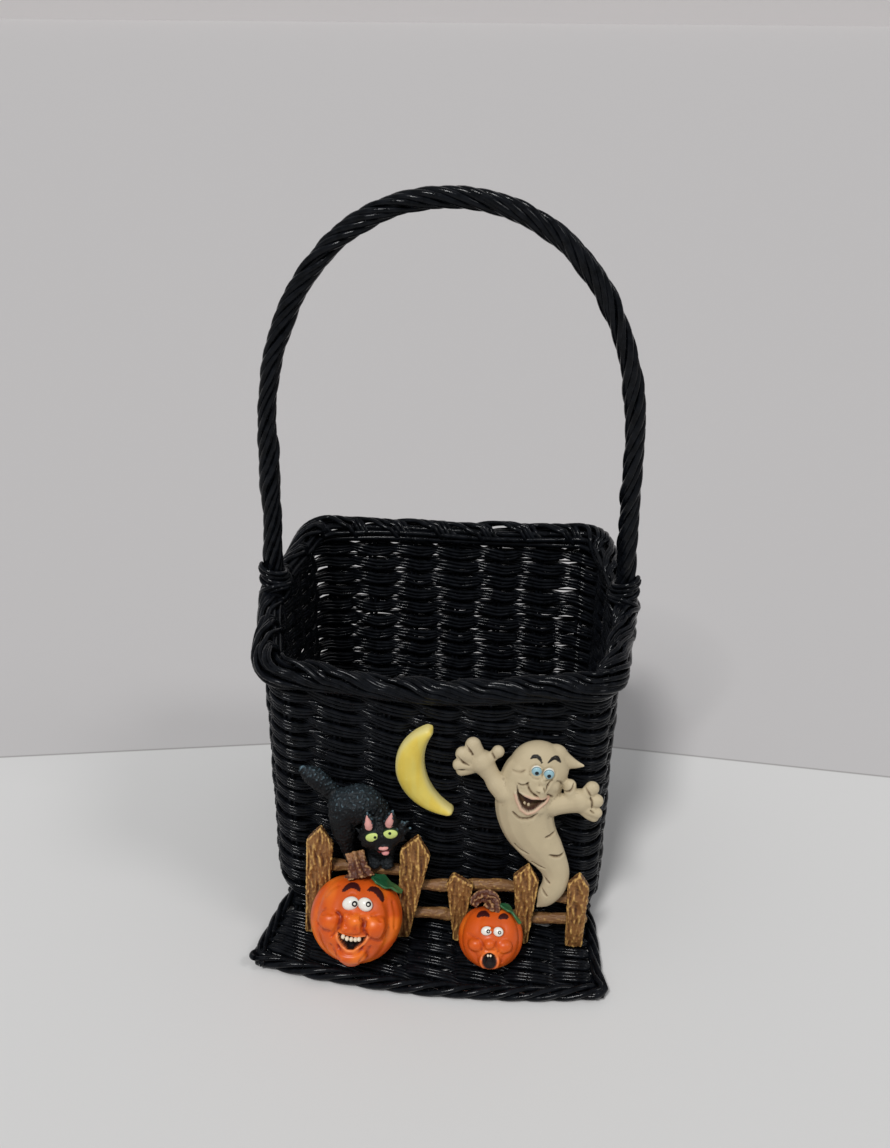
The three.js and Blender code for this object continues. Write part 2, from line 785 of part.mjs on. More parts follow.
function leaf(pumpkin, [root, bend, tip], width) {
  const rootPoint = onFace(pumpkin, root);
  const bendPoint = onFace(pumpkin, bend);
  const tipPoint = onFace(pumpkin, tip);
  const spine = new THREE.CatmullRomCurve3([rootPoint, bendPoint, tipPoint]);
  const middle = pumpkinMiddle(pumpkin);
  const rings = [];
  const steps = 6;
  for (let i = 0; i <= steps; i++) {
    const share = i / steps;
    const point = spine.getPoint(share);
    const up = new THREE.Vector3().subVectors(point, middle).normalize();
    const along = spine.getTangent(share);
    const across = new THREE.Vector3().crossVectors(along, up).normalize();
    const half = pumpkin.radius * width * Math.sin(Math.PI * (0.12 + 0.8 * share)) ** 0.8;
    const fold = half * leafFold;
    const top = point.clone().addScaledVector(up, leafThickness);
    const left = point.clone().addScaledVector(across, half).addScaledVector(up, fold);
    const right = point.clone().addScaledVector(across, -half).addScaledVector(up, fold);
    const leftTop = left.clone().addScaledVector(up, leafThickness);
    const rightTop = right.clone().addScaledVector(up, leafThickness);
    rings.push([point.clone(), left, leftTop, top, rightTop, right]);
  }
  return solid(loft(rings));
}

// The cat stands on the rail between the first two pickets. Each station of its limbs holds x, y, z
// and a radius.

const catHead = { x: -31, y: -112, z: 83 };
const catBack = [[-61, -101, 91, 6], [-54, -102, 97, 12], [-42, -103, 97, 13.5], [-29, -105, 89, 11]];
const catHindLeg = [[-56, -103, 94, 8], [-54, -105, 80, 6.5], [-52, -106, 70, 4.4], [-50, -106, 61.5, 3.8]];
const catLeftPaw = [[-35, -108, 78, 5.5], [-36, -108, 70, 4.5], [-36.5, -106.5, 61.5, 3.8]];
const catRightPaw = [[-28, -108, 78, 5.5], [-28, -108, 70, 4.5], [-27.5, -106.5, 61.5, 3.8]];
const catTail = [
  [-57, -99, 99, 5],
  [-62, -99, 106, 5.5],
  [-69, -99, 113.5, 6.8],
  [-74, -99, 119, 6],
  [-77.5, -99, 121.5, 2.5],
];

function ear(x, y, z, lean) {
  const geometry = new THREE.ConeGeometry(4.6, 13, 6);
  geometry.rotateX(Math.PI / 2);
  geometry.scale(1, 0.6, 1);
  geometry.rotateY(lean);
  geometry.translate(x, y, z);
  return geometry;
}

function catSolid() {
  const { x, y, z } = catHead;
  return joined([
    limb(catBack, 6, 9),
    limb(catHindLeg, 4, 7),
    egg([x, y, z], [14.5, 10.5, 12], 12, 8),
    egg([x + 13, y + 2, z + 1], [6, 5, 4], 8, 5),
    egg([x - 12, y + 2, z - 2], [5.5, 5, 5], 8, 5),
    egg([x + 2, y - 7, z - 7], [5.5, 5, 4.5], 8, 5),
    ear(x - 7.5, y, z + 13, -0.25),
    ear(x + 6.5, y, z + 14.5, 0.2),
    limb(catLeftPaw, 3, 7),
    limb(catRightPaw, 3, 7),
    limb(catTail, 7, 8),
  ]);
}

// The ghost leans from the wall, where its head and arms are, out to the front of the rails, where
// its tail ends. Each station: x, z, half width and half depth.

const ghostStations = [
  [63, 144, 4, 4],
  [62, 141, 10, 8],
  [59.5, 133, 15.5, 11],
  [57, 122, 17.5, 12],
  [54, 108, 18, 11.5],
  [57, 92, 16, 10],
  [64, 77, 13.8, 8],
  [70.5, 65, 10.2, 6.5],
  [72.5, 53, 7.6, 5.2],
  [69.5, 44, 4.8, 3.8],
  [65, 38.5, 1.8, 2],
];
const ghostHeadZ = 145;
const ghostTailZ = 38;

// Each finger, from the middle of its palm: its joint's x and z, its tip's x and z, and its radius
const ghostLeftFingers = [
  [-4, 9, -4.5, 14, 4.3],
  [-9, 4.5, -13, 7, 4],
  [-9.5, -2, -14.5, -3.5, 3.8],
  [7, 6.5, 11, 11, 4],
];
const ghostRightFingers = [
  [4, 5, 9, 8, 3.6],
  [6, 0, 11.5, -0.5, 3.5],
  [5.5, -6, 10.5, -9.5, 3.6],
  [-5.5, 6.5, -8.5, 10, 3.2],
];

function ghostY(z) {
  const share = (ghostHeadZ - z) / (ghostHeadZ - ghostTailZ);
  const headY = wallOffset(0.08, ghostHeadZ, wallThickness / 2).y - 1.5;
  const tailY = fenceBack - ghostThickness / 3;
  return headY + (tailY - headY) * share;
}

function ghostBody() {
  const middle = new THREE.CatmullRomCurve3(ghostStations.map(([x, z]) => new THREE.Vector3(x, 0, z)));
  const sizes = new THREE.CatmullRomCurve3(ghostStations.map((s) => new THREE.Vector3(s[2], s[3], 0)));
  const rings = [];
  const steps = 14;
  const sides = 12;
  for (let i = 0; i <= steps; i++) {
    const place = middle.getPoint(i / steps);
    const size = sizes.getPoint(i / steps);
    const ring = [];
    for (let j = 0; j < sides; j++) {
      const angle = (j * 2 * Math.PI) / sides;
      const x = place.x + size.x * Math.cos(angle);
      const y = ghostY(place.z) + size.y * Math.sin(angle);
      ring.push(new THREE.Vector3(x, y, place.z));
    }
    rings.push(ring);
  }
  return loft(rings);
}

function hand([x, y, z], fingers) {
  const shapes = [egg([x, y, z], [8.5, 4.5, 7.5], 8, 5)];
  for (const [fx, fz, tx, tz, radius] of fingers) {
    const start = [x + fx * 0.4, y, z + fz * 0.4, radius];
    const middle = [x + fx, y - 0.5, z + fz, radius];
    const end = [x + tx, y - 0.5, z + tz, radius * 0.7];
    shapes.push(limb([start, middle, end], 3, 6));
  }
  return shapes;
}

function ghostSolid() {
  const leftY = ghostY(132) - 2;
  const rightY = ghostY(112) - 1;
  return joined([
    ghostBody(),
    limb([[72, ghostY(138), 137, 8], [79, ghostY(136), 135.5, 5.5], [87, ghostY(134), 132.5, 2]], 4, 8),
    limb([[44, leftY, 118, 9], [34, leftY, 124, 7], [26, leftY, 131, 6.5]], 3, 7),
    limb([[66, rightY, 108, 8], [75, rightY, 110.5, 6.5], [85, rightY, 112, 6]], 3, 7),
    ...hand([25.5, leftY, 132], ghostLeftFingers),
    ...hand([84.5, rightY, 112.5], ghostRightFingers),
    egg([62, ghostY(118) - 12, 117.5], [6.5, 5.5, 6], 8, 6),
    egg([55, ghostY(101) - 9, 102], [10, 4.5, 5], 8, 5),
  ]);
}

// The moon is a crescent between two arcs, with a crowned front.

const moonOuter = { x: 8, z: 123, radius: 31.3, from: 110, to: 275 };
const moonInner = { x: 33.8, z: 128.3, radius: 41.2, from: 150, to: 237 };
const moonCrown = [[0, 0], [1, 0], [1, 0.5], [0.8, 0.88], [0.5, 1], [0.2, 0.88], [0, 0.5]];

function onArc({ x, z, radius, from, to }, share) {
  const angle = THREE.MathUtils.degToRad(from + (to - from) * share);
  return new THREE.Vector3(x + radius * Math.cos(angle), 0, z + radius * Math.sin(angle));
}

function moonSolid() {
  const wallFace = wallOffset(0, moonOuter.z, wallThickness / 2).y;
  const back = wallFace + wallThickness / 2;
  const front = wallFace - clearance - moonThickness;
  const rings = [];
  const steps = 16;
  for (let i = 0; i <= steps; i++) {
    const outer = onArc(moonOuter, i / steps);
    const inner = onArc(moonInner, i / steps);
    rings.push(moonCrown.map(([across, crown]) => {
      const point = outer.clone().lerp(inner, across);
      return point.setY(crown === 0 ? back : front + moonThickness * (1 - crown));
    }));
  }
  return solid(loft(rings));
}

// Assembly

addPiece('base_mat', buildBase(), blackCane);
addPiece('ledge_mat', buildLedge(), blackCane);
addPiece('ledge_border', buildLedgeBorder(), blackCane);
addBaseSticks();
addPiece('side_weave', buildWall(), blackCane);
addPiece('rim_border', buildRim(), blackCane);
addPiece('handle_core', handleCore(coreRadius, 0), blackCane);
addPiece('handle_rope', buildRope(), blackCane);
addPiece('lashing_right', lashing(1), blackCane);
addPiece('lashing_left', lashing(-1), blackCane);

pickets.forEach((picket, i) => addPiece(`picket_${i + 1}`, picketShape(picket), fenceWood));
addPiece('upper_rail', rail(upperRailPoints, railRadius), fenceWood);
addPiece('lower_rail', rail(lowerRailPoints, railRadius), fenceWood);
addPiece('cat_rail', rail(catRailPoints, catRailRadius), fenceWood);

const fenceSpace = fenceAndLedgeSpace();
const wallSpace = wallBlock(wallThickness / 2 + clearance, 1, rimRadius);
const bigGrown = pumpkinSolid(bigPumpkin, clearance);
const smallGrown = pumpkinSolid(smallPumpkin, clearance);

addPiece('big_pumpkin', pumpkinSolid(bigPumpkin, 0).subtract(fenceSpace), pumpkinOrange);
addPiece('small_pumpkin', pumpkinSolid(smallPumpkin, 0).subtract(fenceSpace), pumpkinOrange);

const bigStem = stem(bigPumpkin, bigStemPlaces, bigStemRadii);
addPiece('big_stem', bigStem.subtract(bigGrown).subtract(fenceSpace), stemBrown);
const smallStem = stem(smallPumpkin, smallStemPlaces, smallStemRadii);
addPiece('small_stem', smallStem.subtract(smallGrown).subtract(fenceSpace), stemBrown);

const bigLeaf = leaf(bigPumpkin, bigLeafPlaces, leafWidth);
addPiece('big_leaf', bigLeaf.subtract(bigGrown).subtract(fenceSpace), leafGreen);
const smallLeaf = leaf(smallPumpkin, smallLeafPlaces, leafWidth);
addPiece('small_leaf', smallLeaf.subtract(smallGrown).subtract(fenceSpace), leafGreen);

const catRailSpace = solid(rail(catRailPoints, catRailRadius, clearance));
let cat = catSolid().subtract(wallSpace).subtract(catRailSpace);
for (const picket of pickets.slice(0, 2)) cat = cat.subtract(solid(picketShape(picket, clearance)));
addPiece('cat', cat, catBlack);
const upperRailSpace = solid(rail(upperRailPoints, railRadius, clearance));
let ghost = ghostSolid().subtract(wallSpace).subtract(upperRailSpace);
for (const picket of pickets.slice(3)) ghost = ghost.subtract(solid(picketShape(picket, clearance)));
addPiece('ghost', ghost, ghostCream);
addPiece('moon', moonSolid().subtract(wallSpace), moonYellow);

export default basket;
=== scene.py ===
# A black wicker basket for Halloween: a woven box with a hoop handle, and a woven ledge in front of it
# where painted cast figures stand by a small fence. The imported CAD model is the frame, and each
# section makes one piece or group of pieces, in the order in which the basket is put together.
# Lengths in the sections are millimetres; finished meshes, the stage and the materials use metres.

import math
import random

import bpy
import numpy as np
from mathutils import Matrix, Vector, noise


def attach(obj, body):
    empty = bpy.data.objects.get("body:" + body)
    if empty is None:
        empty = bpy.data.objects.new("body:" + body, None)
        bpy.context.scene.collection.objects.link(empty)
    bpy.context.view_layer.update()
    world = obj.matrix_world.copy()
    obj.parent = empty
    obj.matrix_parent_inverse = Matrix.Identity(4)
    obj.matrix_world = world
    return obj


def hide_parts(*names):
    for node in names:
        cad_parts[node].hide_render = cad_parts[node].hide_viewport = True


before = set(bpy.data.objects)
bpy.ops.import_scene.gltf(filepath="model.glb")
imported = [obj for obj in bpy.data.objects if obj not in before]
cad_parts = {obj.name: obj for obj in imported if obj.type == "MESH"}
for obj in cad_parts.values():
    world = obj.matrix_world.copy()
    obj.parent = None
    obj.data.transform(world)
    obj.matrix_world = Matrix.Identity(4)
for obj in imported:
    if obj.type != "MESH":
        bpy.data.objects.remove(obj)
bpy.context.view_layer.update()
bpy.ops.object.select_all(action="DESELECT")
mm = 0.001

# Camera. It stands where the photograph was taken from, a little to the right of the middle and about
# half a metre above the table, and its frame is the photograph's.

scene = bpy.context.scene
scene.view_settings.view_transform = "Standard"

camera_place = Vector((41.5, -644.7, 522.7)) * mm
camera_yaw, camera_pitch, camera_roll = (math.radians(angle) for angle in (3.851, 26.349, 0.421))
ahead = Vector(
    (
        -math.sin(camera_yaw) * math.cos(camera_pitch),
        math.cos(camera_yaw) * math.cos(camera_pitch),
        -math.sin(camera_pitch),
    )
)
level_right = Vector((math.cos(camera_yaw), math.sin(camera_yaw), 0))
level_up = level_right.cross(ahead)
camera_right = level_right * math.cos(camera_roll) + level_up * math.sin(camera_roll)
camera_up = level_up * math.cos(camera_roll) - level_right * math.sin(camera_roll)

lens = bpy.data.cameras.new("photo_camera")
lens.sensor_width = 36
lens.lens = 36.06
camera = bpy.data.objects.new("photo_camera", lens)
scene.collection.objects.link(camera)
camera_axes = Matrix((camera_right, camera_up, -ahead)).transposed().to_4x4()
camera.matrix_world = Matrix.Translation(camera_place) @ camera_axes
scene.camera = camera

# Floor and light. The floor is a pale board, folded up behind the basket into two pale walls that meet
# in a corner. The walls are painted on the floor as far as they would hide it, so that nothing stands
# in the way at the back. Two soft lamps shine from in front, and the pale room lights the rest.


def add_node(tree, kind, values=None, links=None, **settings):
    """A node in a material's tree, with its socket values, the sockets that feed it and its settings."""
    node = tree.nodes.new(kind)
    for name, value in settings.items():
        setattr(node, name, value)
    for socket, value in (values or {}).items():
        node.inputs[socket].default_value = value
    for socket, source in (links or {}).items():
        tree.links.new(source, node.inputs[socket])
    return node


def mixed_color(tree, factor, first, second):
    mix = add_node(tree, "ShaderNodeMix", data_type="RGBA")
    for socket, value in (("A", first), ("B", second)):
        target = next(s for s in mix.inputs if s.name == socket and s.type == "RGBA")
        if isinstance(value, tuple):
            target.default_value = (*value, 1)
        else:
            tree.links.new(value, target)
    tree.links.new(factor, mix.inputs["Factor"])
    return next(s for s in mix.outputs if s.type == "RGBA")


def math_result(tree, operation, *inputs):
    """What comes out of a math node whose inputs are numbers or sockets."""
    node = add_node(tree, "ShaderNodeMath", operation=operation)
    for socket, value in zip(node.inputs, inputs):
        if isinstance(value, (int, float)):
            socket.default_value = value
        else:
            tree.links.new(value, socket)
    return node.outputs[0]


def in_range(tree, value, start, end, low=0, high=1):
    """A value that goes from low to high as the given one goes from start to end."""
    values = {"From Min": start, "From Max": end, "To Min": low, "To Max": high}
    return add_node(tree, "ShaderNodeMapRange", values, {"Value": value}).outputs["Result"]


def new_paint(name, specular, roughness=0.5):
    material = bpy.data.materials.new(name)
    material.use_nodes = True
    shader = material.node_tree.nodes["Principled BSDF"]
    shader.inputs["Specular IOR Level"].default_value = specular
    shader.inputs["Roughness"].default_value = roughness
    return material, material.node_tree, shader


floor_tone, wall_tone, fold_shade_tone = (0.624, 0.617, 0.608), (0.502, 0.487, 0.484), (0.2, 0.19, 0.18)
far_tone = (0.594, 0.572, 0.568)
# The foot of each painted wall: its slope across the floor, and how many metres behind the middle it is
wall_feet = ((-0.168, 0.1205), (0.109, 0.1265))

floor_paint, tree, shader = new_paint("pale_board", specular=0.1, roughness=0.9)
place = add_node(tree, "ShaderNodeTexCoord").outputs["Object"]
split = add_node(tree, "ShaderNodeSeparateXYZ", links={"Vector": place}).outputs
past_feet = []
for slope, behind in wall_feet:
    lean = math_result(tree, "MULTIPLY_ADD", split["X"], slope, split["Y"])
    past_feet.append(math_result(tree, "SUBTRACT", lean, behind))
past = math_result(tree, "MAXIMUM", *past_feet)
tone = mixed_color(tree, in_range(tree, past, -0.0006, 0.0006), floor_tone, wall_tone)
# Painted shade: a thin dark line along the foot of each wall, where the floor folds up into it
fold_shade = in_range(tree, math_result(tree, "ABSOLUTE", past), 0, 0.0016, 0.7, 0)
tree.links.new(mixed_color(tree, fold_shade, tone, fold_shade_tone), shader.inputs["Base Color"])

bpy.ops.mesh.primitive_plane_add(size=200, location=(0, 0, 0))
floor = bpy.context.object
floor.name = "pale_floor"
floor.data.materials.append(floor_paint)

# Far behind, a pale wall hides the horizon
far_paint, _, shader = new_paint("pale_far_board", specular=0.5, roughness=0.9)
shader.inputs["Base Color"].default_value = (*far_tone, 1)
bpy.ops.mesh.primitive_plane_add(size=60, location=(0, 40, 0), rotation=(math.pi / 2, 0, 0))
far_wall = bpy.context.object
far_wall.name = "pale_far_wall"
far_wall.data.materials.append(far_paint)


def soft_sun(name, place, strength, width):
    lamp = bpy.data.lights.new(name, "SUN")
    lamp.energy = strength
    lamp.angle = math.radians(width)
    holder = bpy.data.objects.new(name, lamp)
    holder.rotation_mode = "QUATERNION"
    holder.rotation_quaternion = Vector(place).to_track_quat("Z", "Y")
    scene.collection.objects.link(holder)


soft_sun("lamp_front", (-0.3, -0.8, 1.15), strength=2.05, width=12)
soft_sun("lamp_right", (0.9, -0.35, 1.1), strength=0.5, width=16)

room = bpy.data.worlds.new("pale_room")
room.use_nodes = True
scene.world = room
room.node_tree.nodes["Background"].inputs["Color"].default_value = (0.95, 0.97, 1, 1)
room.node_tree.nodes["Background"].inputs["Strength"].default_value = 0.37

# The wall. All the basket work is round rattan cane, woven first and then painted black, so the paint
# lies in thin lumps and its gloss is uneven. Two strands of three canes twist round stake after stake,
# row above row: a strand comes out high on the left of a stake, sinks across it and goes in low.


def noise_value(tree, values, links):
    return add_node(tree, "ShaderNodeTexNoise", values, links).outputs["Fac"]


def uneven_paint_group():
    """Paint that dried a little unevenly: a mask of thin and thick places, and their height."""
    group = bpy.data.node_groups.new("uneven_paint", "ShaderNodeTree")
    group.interface.new_socket("Scale", in_out="INPUT", socket_type="NodeSocketFloat")
    group.interface.new_socket("Mask", in_out="OUTPUT", socket_type="NodeSocketFloat")
    group.interface.new_socket("Height", in_out="OUTPUT", socket_type="NodeSocketFloat")
    scale = add_node(group, "NodeGroupInput").outputs["Scale"]
    place = add_node(group, "ShaderNodeTexCoord").outputs["Object"]
    coarse = noise_value(group, {"Detail": 3}, {"Vector": place, "Scale": scale})
    finer = math_result(group, "MULTIPLY", scale, 3.7)
    small = noise_value(group, {"Detail": 4}, {"Vector": place, "Scale": finer})
    outside = add_node(group, "NodeGroupOutput")
    group.links.new(in_range(group, coarse, 0.35, 0.65), outside.inputs["Mask"])
    group.links.new(math_result(group, "MULTIPLY_ADD", small, 0.35, coarse), outside.inputs["Height"])
    return group


thin_black, thick_black = (0.0018, 0.0022, 0.003), (0.0055, 0.0064, 0.0085)
cane_paint, tree, shader = new_paint("black_cane_paint", specular=0.12)
lumps = add_node(tree, "ShaderNodeGroup", {"Scale": 210}, node_tree=uneven_paint_group()).outputs
cane_color = mixed_color(tree, lumps["Mask"], thin_black, thick_black)
tree.links.new(cane_color, shader.inputs["Base Color"])
tree.links.new(in_range(tree, lumps["Mask"], 0, 1, 0.06, 0.2), shader.inputs["Roughness"])
bump = add_node(tree, "ShaderNodeBump", {"Strength": 0.35, "Distance": 0.0006}, {"Height": lumps["Height"]})
tree.links.new(bump.outputs["Normal"], shader.inputs["Normal"])


def select_only(*pieces):
    bpy.ops.object.select_all(action="DESELECT")
    for piece in pieces:
        piece.select_set(True)
    bpy.context.view_layer.objects.active = pieces[0]


def cane_work(name, canes, corners=2):
    """Round canes as one mesh. Each cane is (points, radius, closed); a point is x, y, z and thickness."""
    drawing = bpy.data.curves.new(name, "CURVE")
    drawing.dimensions = "3D"
    drawing.bevel_depth = 1
    drawing.bevel_resolution = corners
    drawing.use_fill_caps = True
    for points, radius, closed in canes:
        line = drawing.splines.new("POLY")
        line.points.add(len(points) - 1)
        places = []
        for x, y, z, _ in points:
            places += [x * mm, y * mm, z * mm, 1]
        line.points.foreach_set("co", places)
        line.points.foreach_set("radius", [radius * mm * point[3] for point in points])
        line.use_cyclic_u = closed
        line.use_smooth = True
    work = bpy.data.objects.new(name, drawing)
    scene.collection.objects.link(work)
    select_only(work)
    bpy.ops.object.convert(target="MESH")
    work = bpy.context.object
    bpy.ops.object.shade_smooth()
    work.data.materials.clear()
    work.data.materials.append(cane_paint)
    return work


def hand_in(piece, slot, *nodes):
    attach(piece, "root")
    if nodes:
        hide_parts(*nodes)


box_width, box_depth = 200, 168
corner_radius, foot_radius, foot_inset, foot_height = 16, 28, 3, 24
front_lean, front_bow = 3.5, 4
side_swell, swell_start = 10.5, 60
wall_foot, rim_height, rim_tilt, front_dip = 7.5, 184, 8, 6
# The weave ends this far below the middle of the rim
weave_below_rim = 6.4
stake_places = 24


def rounded_box(t, half_width, half_depth, radius):
    """A point and its outward direction on a rounded rectangle, once round from the front's middle."""
    straight_x, straight_y = half_width - radius, half_depth - radius
    arc = radius * math.pi / 2
    quarter = straight_x + arc + straight_y
    part, share = divmod(t % 1 * 4, 1)
    along = (share if part % 2 == 0 else 1 - share) * quarter
    if along <= straight_x:
        x, y, out_x, out_y = along, -half_depth, 0, -1
    elif along < straight_x + arc:
        angle = (along - straight_x) / radius
        out_x, out_y = math.sin(angle), -math.cos(angle)
        x, y = straight_x + radius * out_x, -straight_y + radius * out_y
    else:
        x, y, out_x, out_y = half_width, -straight_y + along - straight_x - arc, 1, 0
    flip_x = -1 if part >= 2 else 1
    flip_y = -1 if part in (1, 2) else 1
    return x * flip_x, y * flip_y, out_x * flip_x, out_y * flip_y


def smooth(value):
    """An even rise from 0 to 1, with soft ends."""
    value = min(max(value, 0), 1)
    return value * value * (3 - 2 * value)


def wall_point(t, z, out=0):
    """The middle of the wall at height z, or a place that far outside it."""
    tuck = max(0, 1 - (z - wall_foot) / foot_height) ** 2
    half_width, half_depth = box_width / 2 - foot_inset * tuck, box_depth / 2 - foot_inset * tuck
    radius = corner_radius + (foot_radius - corner_radius) * tuck
    x, y, out_x, out_y = rounded_box(t, half_width, half_depth, radius)
    share = (z - wall_foot) / (rim_height - wall_foot)
    swell = side_swell * smooth((z - swell_start) / (rim_height - swell_start))
    swell *= math.cos(math.pi * y / box_depth) ** 2
    bow = front_bow * share * math.cos(math.pi * x / box_width) ** 2
    forward = (front_lean * (1 - share) + bow) * max(0, -y / half_depth)
    return x + swell * x / half_width + out_x * out, y - forward + out_y * out


def rim_middle(t):
    x, y, _, _ = rounded_box(t, box_width / 2, box_depth / 2, corner_radius)
    front = max(0, -y / (box_depth / 2))
    dip = front_dip * front * math.cos(math.pi * x / box_width) ** 2
    return rim_height + rim_tilt * y / (box_depth / 2) - dip


wall_rows = 16
weft_steps = 8
weft_out, weft_fall = 2.5, 2.3
cane_pitch, cane_spread = 1.85, 0.75
weft_radius, filler_radius = 1.32, 1.25
weft_seed = 31
# Steps from stake to stake of a cane that hardly bends
calm_steps = 6


def weft_line(row, strand, cane):
    """One cane of a strand, closed once round the box."""
    chance = random.Random(weft_seed + row * 10 + strand * 3)
    lifts = [chance.uniform(-0.9, 0.9) for _ in range(stake_places)]
    tights = [chance.uniform(-0.6, 0.45) for _ in range(stake_places)]
    thick = random.Random(row * 7 + strand * 2 + cane).uniform(0.93, 1.08)
    half_depth = box_depth / 2
    points = []
    for step in range(stake_places * weft_steps):
        u = step / weft_steps
        t = u / stake_places
        around = math.tau * t
        slip = 0.16 * noise.noise(Vector((math.cos(around) * 4, math.sin(around) * 4, row * 3.7)))
        turn = (u - strand + 0.5 + slip) % 2
        share = turn % 1
        side = 1 if turn < 1 else -1
        if side > 0:
            height = (1 - share) ** 1.8 - 0.5 + 0.5 * math.cos(math.pi * share)
        else:
            height = -1 + 2 * smooth((share - 0.3) / 0.4)
        stroke_number = round(u) % stake_places
        swing = math.sin(math.pi * share)
        out = side * swing**0.6 * (weft_out + tights[stroke_number])
        top = rim_middle(t) - weave_below_rim
        middle = wall_foot + (row + 0.5) * (top - wall_foot) / wall_rows
        wander = noise.noise(Vector((u * 0.6, row * 5.3 + strand * 2.1, cane * 9.7)))
        x, y = wall_point(t, middle)
        fall = weft_fall * (0.7 - 0.3 * max(-1, min(1, y / half_depth)))
        z = middle + height * fall + lifts[stroke_number] * swing
        z += (cane - 1) * (cane_pitch + cane_spread * swing) + 0.5 * wander
        x, y = wall_point(t, z, out + 0.3 * wander + 0.25 * (cane - 1))
        # Seen from in front and above, a wall's farther strands then cover the gaps between its nearer ones
        z += side * swing * y / half_depth * (0.9 if y > 0 else 0.5)
        points.append((x, y, z, thick * (1 + 0.06 * wander)))
    return points, weft_radius, True


def foot_line(z, out):
    """A cane that runs once round the foot of the wall, beside the floor's edge."""
    points = []
    steps = stake_places * calm_steps
    for step in range(steps):
        t = step / steps
        x, y = wall_point(t, wall_foot, out + 0.4 * noise.noise(Vector((step * 0.2, z, 0))))
        points.append((x, y, z + 0.5 * noise.noise(Vector((step * 0.15, z, 5))), 1))
    return points, weft_radius, True


def between_rows(row):
    """A cane in the middle of the wall between two rows. It thins out where light shows through."""
    points = []
    steps = stake_places * calm_steps
    for step in range(steps):
        t = step / steps
        height = wall_foot + row * (rim_middle(t) - weave_below_rim - wall_foot) / wall_rows
        around = math.tau * t
        wander = noise.noise(Vector((math.cos(around) * 3, math.sin(around) * 3, row * 3.1)))
        x, y = wall_point(t, height, 0.5 * wander)
        # Near the back corners and in the left wall
        back_corner = y > 45 and (x > 62 and row % 2 == 1 or x < -82)
        left_wall = x < -90 and y > 10
        points.append((x, y, height + 0.4 * wander, 0.5 if back_corner or left_wall else 1))
    return points, filler_radius, True


def woven_rows(rows):
    canes = [weft_line(row, strand, cane) for row in rows for strand in (0, 1) for cane in range(3)]
    return canes + [between_rows(row) for row in rows]


half_way = wall_rows // 2
foot_lines = [foot_line(z, out) for z, out in ((1.9, 0.8), (4.4, 2), (7, 1.8), (7.5, -1.2))]
lower_wall = cane_work("lower_wall_weave", woven_rows(range(half_way)) + foot_lines)
upper_rows = woven_rows(range(half_way, wall_rows)) + [between_rows(wall_rows)]
upper_wall = cane_work("upper_wall_weave", upper_rows)
hand_in(lower_wall, "black_cane", "side_weave")
hand_in(upper_wall, "black_cane")

# Stakes. Twenty-two pairs of thin rods stand in the wall. They start beside the floor's edge and go on
# up into the rim, where they are bent down and rolled into its border.

stake_radius, stake_steps = 1.4, 14


def stake_rods():
    rods = []
    for k in range(stake_places):
        if k in (stake_places // 4, stake_places * 3 // 4):
            continue
        t = k / stake_places
        _, _, out_x, out_y = rounded_box(t, box_width / 2, box_depth / 2, corner_radius)
        for side in (-1, 1):
            points = []
            for step in range(stake_steps + 1):
                z = 3 + (rim_middle(t) - 5) * step / stake_steps
                x, y = wall_point(t, max(z, wall_foot))
                along = side * 1.5 + 0.3 * noise.noise(Vector((k * 3.7, side, z * 0.03)))
                points.append((x - out_y * along, y + out_x * along, z, 1))
            rods.append((points, stake_radius, False))
    return rods


stakes = cane_work("wall_stakes", stake_rods())
stake_nodes = [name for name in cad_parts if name.startswith("stake_")]
hand_in(stakes, "black_cane", *stake_nodes)

# The rim. Each stake's rods, with a few canes laid beside them, bend over to the outside and run on
# along the rim under the next ones, so that the border looks like a rope of long overlapping arches.

rim_cane_radius, rim_filler_radius = 1.5, 1.9
# An arch's run in stakes, with its angle round the rim's middle there, or its distance from it
arch_angles = [(0, 215), (0.3, 98), (0.9, 44), (1.7, 0), (2.5, -45), (3.0, -80)]
arch_distances = [(0, 3.6), (0.3, 7.4), (0.9, 7.8), (1.7, 6.6), (2.5, 5.2), (3.0, 3.8)]
arch_steps = 30


def rim_place(u, angle, distance):
    """A place round the rim: along it in stakes, angle from the outside over the top, from its middle."""
    t = u / stake_places
    z = rim_middle(t)
    x, y, _, _ = rounded_box(t, box_width / 2, box_depth / 2, corner_radius)
    corner = smooth(abs(x * y) / (box_width * box_depth / 4) * 2 - 1)
    distance *= 1 + 0.3 * corner
    x, y = wall_point(t, z, distance * math.cos(angle))
    return x, y, z + distance * math.sin(angle)


def through(share, stops):
    """A value that passes smoothly through (share, value) stops."""
    for (s0, v0), (s1, v1) in zip(stops, stops[1:]):
        if share <= s1:
            return v0 + (v1 - v0) * smooth((share - s0) / (s1 - s0))
    return stops[-1][1]


def rim_arches():
    canes = []
    for k in range(stake_places):
        chance = random.Random(400 + k)
        length = 3 * chance.uniform(0.92, 1.06)
        lift = chance.uniform(-1, 1.6)
        for cane in range(4):
            spread = math.radians((cane - 1.5) * 25 + chance.uniform(-13, 13))
            points = []
            for step in range(arch_steps + 1):
                run = length * step / arch_steps
                angle = math.radians(through(run, arch_angles)) + spread * (1 - 0.2 * run)
                distance = through(run, arch_distances) + lift * math.sin(math.pi * min(run, 1.6) / 1.6)
                x, y, z = rim_place(k + run + 0.07 * cane, angle, distance)
                points.append((x, y, z, 1))
            canes.append((points, rim_cane_radius * chance.uniform(0.9, 1.2), False))
    return canes


